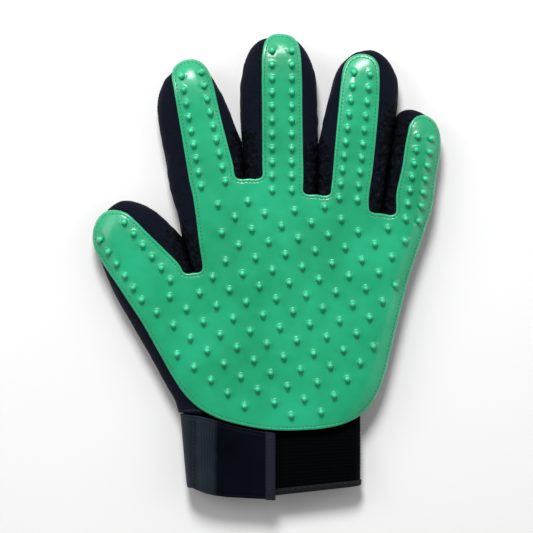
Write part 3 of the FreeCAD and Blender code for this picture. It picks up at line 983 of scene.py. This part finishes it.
def fabric_rows(turns):
    """Rows of points over the rounded edge of the glove, one for each angle."""
    gap = np.clip((fabric_round - CREVICE_ROUND) / (EDGE_ROUND - CREVICE_ROUND), 0, 1)
    ends = np.minimum(np.arange(len(fabric_edge)), np.arange(len(fabric_edge))[::-1])
    free = gap * np.clip(ends * OUTLINE_STEP / MOUTH_PLAIN, 0, 1)
    rows = []
    for turn in turns:
        sine, cosine = math.sin(math.radians(turn)), math.cos(math.radians(turn))
        row = []
        for (x, y), normal, reach, loose, near in zip(
            fabric_edge, fabric_in, fabric_round, free, gap
        ):
            level = MID_HEIGHT + HALF_THICK * sine
            fold = pucker(x, y, level) * loose * cosine
            depth = reach * (1 - cosine) + max(fold, -PUCKER_OUT)
            level += PUCKER_LIFT * fold * sine - droop(x, y) * max(sine, 0.0)
            if turn > CRUMPLE_FROM:
                level += CRUMPLE * (1 - near) * soft_noise(x, y, CRUMPLE_SIZE, 1.0)
            level = min(level, FABRIC_TOP - droop(x, y))
            row.append((x + normal[0] * depth, y + normal[1] * depth, level))
        rows.append(row)
    return rows


def free_points(rim, loops, step, clear):
    """A grid of points inside the rim that keeps clear of it and of the loops."""
    grid = hexagon_grid(step, rim.min(axis=0), rim.max(axis=0))
    grid = grid[inside(rim, grid)]
    edge = Near(np.vstack([rim, *loops]))
    return [p for p in grid if edge.find(*p)[1] > clear]


def fabric_grid(rim):
    """Points inside the rim, close together where the fabric is bunched up."""
    fine = [p for p in free_points(rim, [], BUNCHED_STEP, BUNCHED_CLEAR)
            if near_gap.find(*p)[1] < BUNCHED_REACH]
    plain = [p for p in free_points(rim, [], PLAIN_STEP, PLAIN_CLEAR)
             if near_gap.find(*p)[1] > BUNCHED_REACH + BUNCHED_STEP]
    return fine + plain


def fabric_skin(turns, height, grid):
    skin = Skin()
    rows = skin.rows(fabric_rows(turns), closed=False)
    last = rows[-1]
    right, left = (np.array(skin.points[i]) for i in (last[0], last[-1]))
    mouth = [left + (right - left) * s for s in np.linspace(0, 1, 50)[1:-1]]
    rim = last + skin.add(mouth)
    skin.fill(rim, [], grid(skin.plan(rim)), height)
    return skin


def gussets(skin):
    """Gives the fabric near the gaps the second material, with its painted shade, up to a ragged
    border.
    """
    for place, face in enumerate(skin.faces):
        x, y, _ = np.mean([skin.points[i] for i in face], axis=0)
        ragged = GUSSET_RAGGED * soft_noise(x, y, GUSSET_RAG, 9.0)
        if near_gap.find(x, y)[1] + ragged < GUSSET_REACH:
            skin.second.add(place)
    return skin


BACK_STEP = 2.6       # spacing of the points over the back
BACK_HOLLOW = 1.1     # depth of its hollows


def back_height(x, y):
    """The back of the glove: it rests on the table, with shallow hollows in it."""
    hollow = 0.5 + soft_noise(x, y, 19, 3.0) + 0.5 * soft_noise(x, y, 7, 8.0)
    return FABRIC_LOW + BACK_HOLLOW * max(hollow - 0.35, 0)


spread(
    gussets(fabric_skin(SIDE_TURNS, side_height, fabric_grid)),
    "fabric_side", ["stretch_fabric", "gusset_fabric"], "sidewall",
)
spread(
    fabric_skin(BACK_TURNS, back_height, lambda rim: free_points(rim, [], BACK_STEP, PLAIN_CLEAR)),
    "fabric_back", ["back_mesh"], "back",
)

SEAM_CORD = 0.38      # radius of the overlock thread along the seam of the two fabrics
SEAM_NICK = 0.72      # how much of that is left where the thread is nicked, every third step
SEAM_STEP = 0.55      # spacing of its sections
SEAM_SUNK = 0.18      # how far in from the fabric's edge its middle lies
SEAM_PINCHED = 0.25   # how much deeper it lies between two digits


def seam_cord():
    """A corded thread round the glove where the back meets the side wall."""
    pinched = np.clip((EDGE_ROUND - fabric_round) / (EDGE_ROUND - CREVICE_ROUND), 0, 1)
    path = fabric_edge + fabric_in * (SEAM_SUNK + SEAM_PINCHED * pinched)[:, None]
    line = at_lengths(path, np.arange(0, lengths_along(path)[-1], SEAM_STEP))
    rows = []
    for i, ((x, y), (nx, ny)) in enumerate(zip(line, inward(line, closed=False))):
        radius = SEAM_CORD * (1.0 if i % 3 else SEAM_NICK)
        rows.append([
            (
                x + nx * radius * math.cos(a), y + ny * radius * math.cos(a),
                SEAM_LEVEL + radius * math.sin(a),
            )
            for a in RING
        ])
    return skin_of(rows)


spread(seam_cord(), "side_seam", ["black_thread"])


# ---------------------------- rubber and its nubs
# The rubber from its lower edge, up and over its rim and across the stitching groove, as
# (how far in from the outline, height over the pad).
RUBBER_RIM = [
    (0.0, -RUBBER), (0.0, -0.6), (0.16, -0.2), (0.5, -0.02), (1.15, 0.0),
    (1.4, -0.13), (1.85, -0.13), (2.1, 0.0), (2.35, 0.0),
]
NUB_FOOT = 2.2        # radius of a nub's foot; from there it goes up as (radius, height)
NUB_SHAPE = [
    (1.82, 0.12), (1.6, 0.45), (1.46, 1.05), (1.3, 1.75), (1.14, 2.35), (0.86, 2.76),
    (0.46, 2.96),
]
NUB_SIDES = 12
TIP_ABOVE = 1.4       # height from which a nub has the lighter tip, a painted highlight
RUBBER_GRID = 1.7     # spacing of the points over the rubber
RUBBER_CLEAR = 0.8    # how far they keep from its rim
NUB_CLEAR = 0.7       # and from the round of a nub's foot
UNDER_GRID = 4.0      # spacing of the points over its underside
UNDER_CLEAR = 1.6     # how far they keep from its rim
HOLE_SHARE = 0.98     # the sheet is left open within this share of a nub's foot
NUB_SINK = 0.05       # how close to a pad's highest level a point counts as a nub's tip


def nub_centres():
    """The middles of the nubs, found from their flat tips on the pads."""
    centres = []
    for name, node in sorted(frame["nodes"].items()):
        if not name.endswith("_pad"):
            continue
        points = np.array([v.co for v in node.data.vertices]) / MM
        tips = points[points[:, 2] > points[:, 2].max() - NUB_SINK][:, :2]
        while len(tips):
            close = np.linalg.norm(tips - tips[0], axis=1) < NUB_FOOT
            centres.append(tips[close].mean(axis=0))
            tips = tips[~close]
    return np.array(centres)


def rubber_skin():
    """One closed sheet of rubber: rim, stitching groove, nubs, and the underside."""
    skin = Skin()
    made = skin.rows([
        [(x, y, pad_height(x, y) + lift) for x, y in rubber_edge + rubber_in * depth]
        for depth, lift in RUBBER_RIM
    ])
    loops = []
    angles = np.arange(NUB_SIDES) * math.tau / NUB_SIDES
    centres = nub_centres()
    for x, y in centres:
        level = pad_height(x, y)
        low = skin.add([(*p, pad_height(*p)) for p in circle(x, y, NUB_FOOT, angles)])
        loops.append(low)
        for radius, height in NUB_SHAPE:
            row = skin.add([(*p, level + height) for p in circle(x, y, radius, angles)])
            tip_start = len(skin.faces)
            skin.band(low, row)
            # The upper rows take the lighter tip material, a painted highlight.
            if height > TIP_ABOVE:
                skin.second.update(range(tip_start, len(skin.faces) + 1))
            low = row
        skin.cap(low)
    feet = [skin.plan(loop) for loop in loops]
    free = free_points(skin.plan(made[-1]), feet, RUBBER_GRID, RUBBER_CLEAR)
    clear = Near(centres)
    free = [p for p in free if clear.find(*p)[1] > NUB_FOOT + NUB_CLEAR]
    skin.fill(made[-1], loops, free, pad_height, centres, NUB_FOOT * HOLE_SHARE)
    free = free_points(skin.plan(made[0]), [], UNDER_GRID, UNDER_CLEAR)
    skin.fill(made[0], [], free, lambda x, y: pad_height(x, y) - RUBBER)
    return skin


spread(rubber_skin(), "rubber", ["rubber_pad", "nub_rubber"], "pad")

DASH = 1.3            # length of one stitch
DASH_PITCH = 2.0      # from one to the next
DASH_WIDE = 0.28      # half its width
DASH_THICK = 0.16     # half its thickness
DASH_SUNK = 0.09      # how far its middle lies below the rubber's face
DASH_LINE = 1.65      # the line of stitches, in from the rubber's edge
# A stitch's sections, as (share of its length from its middle, share of its width).
DASH_SHAPE = ((-0.5, 0.4), (-0.36, 1.0), (0.36, 1.0), (0.5, 0.4))
HEADING_STEP = 0.1    # how far ahead a path's direction is taken from
SLOPE_STEP = 0.4      # the same for the slope of the rubber across it


def add_stitch(skin, centre, forward, side, up, length=DASH):
    """One rounded thread stitch lying along forward."""
    centre, forward, side, up = (np.asarray(v, float) for v in (centre, forward, side, up))
    rows = []
    for share, size in DASH_SHAPE:
        middle = centre + forward * share * length - up * (1 - size) * DASH_THICK
        rows.append([
            middle + side * DASH_WIDE * size * math.cos(a) + up * DASH_THICK * size * math.sin(a)
            for a in RING
        ])
    made = skin.rows(rows)
    skin.cap(made[0], flip=True)
    skin.cap(made[-1])


def even_steps(path, pitch):
    """Places a pitch apart round a closed curve in plan, with the direction at each."""
    path = np.vstack([path, path[:1]])
    where = np.arange(pitch / 2, lengths_along(path)[-1], pitch)
    here, ahead = at_lengths(path, where), at_lengths(path, where + HEADING_STEP)
    heading = (ahead - here) / np.linalg.norm(ahead - here, axis=1)[:, None]
    return zip(here, heading)


def rubber_stitches():
    skin = Skin()
    for (x, y), (fx, fy) in even_steps(rubber_edge + rubber_in * DASH_LINE, DASH_PITCH):
        level = pad_height(x, y)
        rise = level - pad_height(x - fy * SLOPE_STEP, y + fx * SLOPE_STEP)
        side = Vector((fy, -fx, rise / SLOPE_STEP)).normalized()
        forward = Vector((fx, fy, 0))
        add_stitch(skin, (x, y, level - DASH_SUNK), forward, side, side.cross(forward))
    return skin


spread(rubber_stitches(), "rubber_stitches", ["green_thread"])


# ---------------------------- cuff
MOUTH = (2.8, 47.8, 8.5, 8.4)       # middle x, half width, middle height, half height
CUFF = (3.1, 45.3, 7.4, 6.2)
CUFF_WALL = 1.8
CUFF_SIDES = 132      # points round it
RIB_PITCH = 1.7
RIB_DEPTH = 0.32
TUCK_END, BAND_START, BAND_END, CUFF_END = -72.6, -75.4, -109.6, -112.2
CUFF_TAPER = 3.2      # how much the thumb side draws in towards the cuff's end
CUFF_BOW = 4.9        # how much further down the cuff reaches in its middle
CUFF_LOWEST = 0.06    # no part of it comes nearer the table
EASE_SIZE = 6         # from one unevenness of the elastic to the next, about
EASE_WIDE = 60        # it moves the sides out by one part in this many, and the faces:
EASE_HIGH = 9
# The tape's sections, as (level, share of the way from mouth to cuff, how far out).
TAPE_ROWS = (
    (-71.4, 0, -1.2), (TUCK_END, 0, -0.2), (-72.65, 0, 0.16), (-73.0, 0, 0.3),
    (-73.6, 0, 0.26), (-74.0, 0.1, 0.3), (-74.4, 0.4, 0.3), (-74.8, 0.8, 0.36),
    (-75.2, 1, 0.4), (-75.9, 1, 0.4), (-76.1, 1, 0.2), (-76.1, 1, -0.3),
)
# The folded hem's sections, as (level, how far out).
HEM_ROWS = (
    (-109.1, -0.2), (-109.1, 0.3), (-109.4, 0.5), (-110.2, 0.48), (-111.2, 0.5), (-111.8, 0.38),
    (-112.15, 0.0), (CUFF_END, -0.8), (-111.9, -1.7), (-111.1, -2.3), (-108.8, -2.35),
)


def reach_down(y):
    """How far down the cuff a level is, from 0 at its top to 1 at its end."""
    return min(max((BAND_START - y) / (BAND_START - CUFF_END), 0.0), 1.0)


def cuff_at(y):
    """The cuff's section at a level: its thumb side draws in."""
    middle, half, level, rise = CUFF
    draw = CUFF_TAPER * reach_down(y) / 2
    return middle + draw, half - draw, level, rise


def section(shape, grow, y, ease=0.0):
    """Points round a flattened tube: two straight sides and two round ends."""
    middle, half, level, rise = shape
    half, rise = half + grow, rise + grow
    flat = half - rise
    share = 2 * flat / (4 * flat + math.tau * rise)
    row = []
    for t in np.arange(CUFF_SIDES) / CUFF_SIDES:
        side, t = (1, t) if t < 0.5 else (-1, t - 0.5)
        if t < share:
            x, z = flat - t / share * 2 * flat, rise
        else:
            turn = math.pi * (t - share) / (0.5 - share)
            x, z = -flat - rise * math.sin(turn), rise * math.cos(turn)
        swell = ease * soft_noise(side * x * 0.6 + 40 * side, y * 0.35, EASE_SIZE, 2.0)
        x, z = side * x * (1 + swell / EASE_WIDE), side * z * (1 + swell / EASE_HIGH)
        bow = CUFF_BOW * (1 - abs(x) / half) * reach_down(y)
        row.append((middle + x, y - bow, max(level + z, CUFF_LOWEST)))
    return row


def mixed(first, second, share):
    return tuple(a + (b - a) * share for a, b in zip(first, second))


def show_part(skin, name, slot, replaced="", look=""):
    """Shows a skin that isn't parted, with the material named by look, or else by slot."""
    made = skin.finished()
    mesh = bpy.data.meshes.new(name)
    made.to_mesh(mesh)
    made.free()
    mesh.shade_smooth()
    piece = show(mesh, name, look or slot)
    if replaced:
        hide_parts(replaced)
    return piece


def seam_tape():
    """Binding that covers the fabric's mouth and the top of the elastic."""
    return skin_of([
        section(mixed(MOUTH, CUFF, share), grow, y) for y, share, grow in TAPE_ROWS
    ])


def elastic_band():
    """A ribbed tube with an inner wall."""
    rows = []
    for y in np.arange(BAND_START, BAND_END, -RIB_PITCH / 5):
        rib = abs(math.sin(math.pi * y / RIB_PITCH)) ** 0.7
        rows.append(section(cuff_at(y), RIB_DEPTH * (rib - 0.75), y, ease=0.25))
    inner = np.linspace(BAND_END, TUCK_END, 16)
    rows += [section(cuff_at(y), -CUFF_WALL, y) for y in inner]
    return skin_of(rows)


def cuff_hem():
    return skin_of([section(cuff_at(y), grow, y, ease=0.15) for y, grow in HEM_ROWS])


def tube_stitches(shape, grow, y, pitch, length):
    """A row of stitches round a flattened tube."""
    skin = Skin()
    ring = np.array(section(shape, grow, y))
    for (x, z), (fx, fz) in even_steps(ring[:, [0, 2]], pitch):
        place = ring[np.argmin(np.hypot(ring[:, 0] - x, ring[:, 2] - z))]
        add_stitch(skin, (x, place[1], max(z, 0.3)), (fx, 0, fz), (0, 1, 0), (fz, 0, -fx), length)
    return skin


HEM_ROW, SEAM_ROW = -110.0, -73.3   # where the rows of stitches run round the cuff
hem_row = tube_stitches(cuff_at(HEM_ROW), grow=0.5, y=HEM_ROW, pitch=3.0, length=2.0)
seam_row = tube_stitches(MOUTH, grow=0.28, y=SEAM_ROW, pitch=2.6, length=1.7)
for piece in (
    show_part(seam_tape(), "cuff_seam_tape", "edge_binding", "cuff_seam"),
    show_part(elastic_band(), "cuff_elastic", "ribbed_elastic", "cuff_band"),
    show_part(cuff_hem(), "cuff_folded_hem", "edge_binding", "cuff_hem"),
    show_part(hem_row, "cuff_hem_stitches", "edge_binding", look="black_thread"),
    show_part(seam_row, "cuff_seam_stitches", "edge_binding", look="black_thread"),
):
    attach(piece, "palm")


# ---------------------------- strap
STRAP_THICK = 1.2
STRAP_LEVEL = 16.8    # outer face of the strap over the front of the cuff
BEND_X = -36.0        # where the strap turns round the thumb side
FRONT_START = -36.3   # where the moving part meets the part sewn to the cuff
FRONT_END = 0.4
BACK_END = -4.0
TOP_EDGE = [(-50, -75.0), (-41, -75.4), (-33, -76.4), (-27, -78.0), (-20, -80.3),
            (-12, -82.2), (0, -84.4), (6, -85.2)]
LOW_EDGE = [(-50, -112.9), (-39, -113.1), (-36, -113.9), (-31, -115.8), (-26, -116.9),
            (-20, -117.7), (0, -118.7), (6, -119.1)]
BEND_TAPER = 3.3      # how much tighter the bend is at its lower end
TABLE_GAP = 0.02      # the sewn part lies this far above the table
# The strap's outer face near an edge, as (how far in from the edge, height).
STRAP_RIM = ((0.22, -0.08), (0.9, 0.0), (1.2, -0.1), (1.7, -0.1), (2.0, 0.0))
OUTER_FACE = -0.3     # only points above this, over the outer face, are rippled
RIPPLE_SIZE = 9


def strap_edges(x):
    top, low = np.array(TOP_EDGE), np.array(LOW_EDGE)
    return float(np.interp(x, *low.T)), float(np.interp(x, *top.T))


def strap_row(x, z, outward, edges, thick, wave=0.0):
    """One closed section of the strap: outer face, rounded edges and inner face."""
    low, high = edges
    tight = BEND_TAPER * max(-outward[0], 0.0)
    rim = ((0.05, -thick + 0.25), (0.0, -0.35), *STRAP_RIM)
    spans = [(low + inset, lift) for inset, lift in rim]
    spans += [(y, 0.0) for y in np.linspace(low + 3.2, high - 3.2, 20)]
    spans += [(high - inset, lift) for inset, lift in rim[::-1]]
    spans += [(high - 0.4, -thick), (low + 0.4, -thick)]
    row = []
    for y, lift in spans:
        ripple = 0.0
        if lift > OUTER_FACE:
            ripple = wave * soft_noise(x * 1.6, y * 0.45, RIPPLE_SIZE, 4.0)
        draw = tight * (high - y) / (high - low)
        rise = lift + ripple
        row.append((x + draw + outward[0] * rise, y, z + outward[1] * rise))
    return row


def strap_front():
    rows = [
        strap_row(x, STRAP_LEVEL, (0, 1), strap_edges(x), STRAP_THICK, 0.35)
        for x in np.linspace(FRONT_END, FRONT_START, 50)
    ]
    return skin_of(rows, start=True)


def strap_back():
    """The part sewn down: round the thumb side and under the cuff."""
    rows = []
    for turn in np.radians(np.linspace(0, 180, 32)):
        outward = (-math.sin(turn), math.cos(turn))
        x, z = (BEND_X + outward[0] * BEND_RADIUS, BEND_RADIUS + outward[1] * BEND_RADIUS)
        rows.append(strap_row(x, max(z, TABLE_GAP), outward, strap_edges(x), STRAP_THICK, 0.2))
    rows[0] = strap_row(FRONT_START, STRAP_LEVEL, (0, 1), strap_edges(FRONT_START), STRAP_THICK)
    rows += [
        strap_row(x, TABLE_GAP, (0, -1), strap_edges(BEND_X), STRAP_THICK)
        for x in np.linspace(BEND_X + 1.5, BACK_END, 18)
    ]
    return skin_of(rows, end=True)


HEM_START, HEM_END, HEM_RISE, HEM_THICK = -0.5, 4.6, 0.35, 1.7
# The folded end's sections, as (place, how much thinner it is there).
FOLD_ROWS = (
    (HEM_START, 0.75), (HEM_START + 0.05, 0.2), (HEM_START + 0.35, 0.0), (0.5, 0.0),
    (1.2, 0.0), (1.5, 0.12), (1.9, 0.12), (2.2, 0.0), (3.4, 0.0), (4.1, 0.06),
    (4.45, 0.3), (HEM_END, 0.75),
)
STRAP_PITCH = 1.9     # from one stitch on the strap to the next
END_COLUMN, SIDE_COLUMN = 1.7, -37.6   # where the two lines of stitches cross the strap
END_LEVEL, SIDE_LEVEL = STRAP_LEVEL + HEM_RISE - 0.1, 16.62


def strap_hem():
    """The folded, sewn end of the strap."""
    rows = []
    for x, thin in FOLD_ROWS:
        low, high = strap_edges(x)
        edges = (low - 0.35 + thin / 3, high + 0.3 - thin / 3)
        level, thick = STRAP_LEVEL + HEM_RISE - thin, HEM_THICK - 1.6 * thin
        rows.append(strap_row(x, level, (0, 1), edges, thick, 0.12))
    return skin_of(rows, start=True, end=True)


def strap_stitches(column, level):
    """A line of stitches across the strap."""
    skin = Skin()
    low, high = strap_edges(column)
    for y in np.arange(low + 1.2, high - 0.8, STRAP_PITCH):
        add_stitch(skin, (column, y, level), (0, 1, 0), (1, 0, 0), (0, 0, 1), DASH)
    return skin


front = show_part(strap_front(), "strap_front", "strap_webbing", "strap_band")
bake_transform(front)
sewn = show_part(strap_back(), "strap_sewn_part", "strap_webbing", "strap_anchor")
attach(sewn, "palm")
fold = show_part(strap_hem(), "strap_end_fold", "strap_hem", "strap_end_hem")
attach(fold, "strap")
end_row = strap_stitches(END_COLUMN, END_LEVEL)
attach(show_part(end_row, "strap_end_stitches", "strap_hem", look="black_thread"), "strap")
side_row = strap_stitches(SIDE_COLUMN, SIDE_LEVEL)
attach(show_part(side_row, "strap_side_stitches", "strap_webbing", look="black_thread"), "palm")


def patch_steps(size):
    """Steps over a patch, close together where its edges are rounded."""
    return [0, 0.02, 0.3, *np.linspace(1.0, size - 1.0, 22), size - 0.3, size - 0.02, size]


def patch(left, right, low, high, bottom, top, rough):
    """A flat sewn patch with rounded edges and a rough face."""
    columns, rows = patch_steps(right - left), patch_steps(high - low)
    made = []
    for i, dy in enumerate(rows):
        row = []
        for j, dx in enumerate(columns):
            rim = min(i, j, len(rows) - 1 - i, len(columns) - 1 - j)
            level = {0: bottom, 1: bottom + 0.7 * (top - bottom), 2: top - 0.06}.get(rim, top)
            if rim > 2:
                level -= rough * (0.5 + soft_noise(dx, dy, 1.3, top))
            row.append((left + dx, low + dy, level))
        made.append(row)
    return skin_of(made, closed=False)


def hooks(left, right, low, high, bottom, top, pitch):
    """A field of little mushroom hooks under a plate."""
    skin = Skin()
    for x in np.arange(left + 1.2, right - 1, pitch):
        for y in np.arange(low + 1.2, high - 1, pitch):
            rows = [
                [(*p, z) for p in circle(x, y, radius, RING)] for radius, z in (
                    (0.16, top), (0.15, bottom + 0.2), (0.34, bottom + 0.12), (0.2, bottom),
                )
            ]
            made = skin.rows(rows)
            skin.cap(made[-1])
    return skin


LOOP_PATCH = (-24.5, 3.5, -111.5, -89.5)   # left, right, low and high edge
HOOK_PATCH = (-17.5, 2.5, -114.5, -90.5)
pile = patch(*LOOP_PATCH, bottom=13.5, top=14.55, rough=0.25)
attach(show_part(pile, "loop_patch_pile", "loop_fabric", "loop_patch"), "palm")
plate = patch(*HOOK_PATCH, bottom=0.0, top=0.45, rough=0.05)
plate.points = [(x, y, STRAP_LEVEL - STRAP_THICK - z) for x, y, z in plate.points]
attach(show_part(plate, "strap_hook_plate", "hook_plastic", "strap_hook_patch"), "strap")
field = hooks(*HOOK_PATCH, bottom=14.92, top=15.2, pitch=1.5)
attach(show_part(field, "strap_hooks", "hook_plastic"), "strap")


# ---------------------------- table, light and camera
FLOOR_HALF = 2.0      # sizes from here on are in metres
CORNERS = ((-1, -1), (1, -1), (1, 1), (-1, 1))
floor_mesh = bpy.data.meshes.new("table")
floor_mesh.from_pydata(
    [(x * FLOOR_HALF, y * FLOOR_HALF, 0) for x, y in CORNERS], [], [(0, 1, 2, 3)]
)
show(floor_mesh, "table", "table")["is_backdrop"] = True

LAMPS = (  # name, place, size and watts
    ("key", (-0.12, 1.0, 1.1), 0.5, 25),
    ("left", (-1.15, 0.5, 0.95), 0.9, 6.0),
    ("right", (1.3, 0.2, 0.9), 0.9, 4.0),
)
LAMP_AIM = Vector((0, 0, 0.01))
for name, place, size, watts in LAMPS:
    light = bpy.data.lights.new(name, "AREA")
    light.shape = "DISK"
    light.size = size
    light.energy = watts
    lamp = bpy.data.objects.new(name, light)
    lamp.location = place
    lamp.rotation_euler = (LAMP_AIM - Vector(place)).to_track_quat("-Z", "Y").to_euler()
    bpy.context.scene.collection.objects.link(lamp)


STUDIO_LEVEL = 0.48
STUDIO_BRIGHT = (0.72, (1, 1, 1, 1))            # from this height of the sky down
STUDIO_DARK = (0.93, (0.04, 0.04, 0.045, 1))    # and from this height up


def studio_light():
    """Soft light from all round that leaves a dark patch straight overhead."""
    world = bpy.data.worlds.new("studio")
    world.use_nodes = True
    tree = world.node_tree
    where = tree.nodes.new("ShaderNodeTexCoord")
    split = tree.nodes.new("ShaderNodeSeparateXYZ")
    ramp = tree.nodes.new("ShaderNodeValToRGB")
    tree.links.new(where.outputs["Generated"], split.inputs["Vector"])
    tree.links.new(split.outputs["Z"], ramp.inputs["Fac"])
    bright, dark = ramp.color_ramp.elements
    bright.position, bright.color = STUDIO_BRIGHT
    dark.position, dark.color = STUDIO_DARK
    tree.links.new(ramp.outputs["Color"], tree.nodes["Background"].inputs["Color"])
    tree.nodes["Background"].inputs["Strength"].default_value = STUDIO_LEVEL
    return world


bpy.context.scene.world = studio_light()
bpy.context.scene.view_settings.view_transform = "Standard"

CAMERA_HEIGHT = 1.5
FRAME_WIDTH = 0.272   # width of what the camera sees at the glove's top
SENSOR_WIDTH = 36     # in millimetres, as the lens is
camera_data = bpy.data.cameras.new("camera")
camera_data.sensor_width = SENSOR_WIDTH
camera = bpy.data.objects.new("camera", camera_data)
bpy.context.scene.collection.objects.link(camera)
bpy.context.scene.camera = camera
low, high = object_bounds()
camera_data.lens = SENSOR_WIDTH * (CAMERA_HEIGHT - high.z) / FRAME_WIDTH
camera.location = ((low.x + high.x) / 2, (low.y + high.y) / 2, CAMERA_HEIGHT)
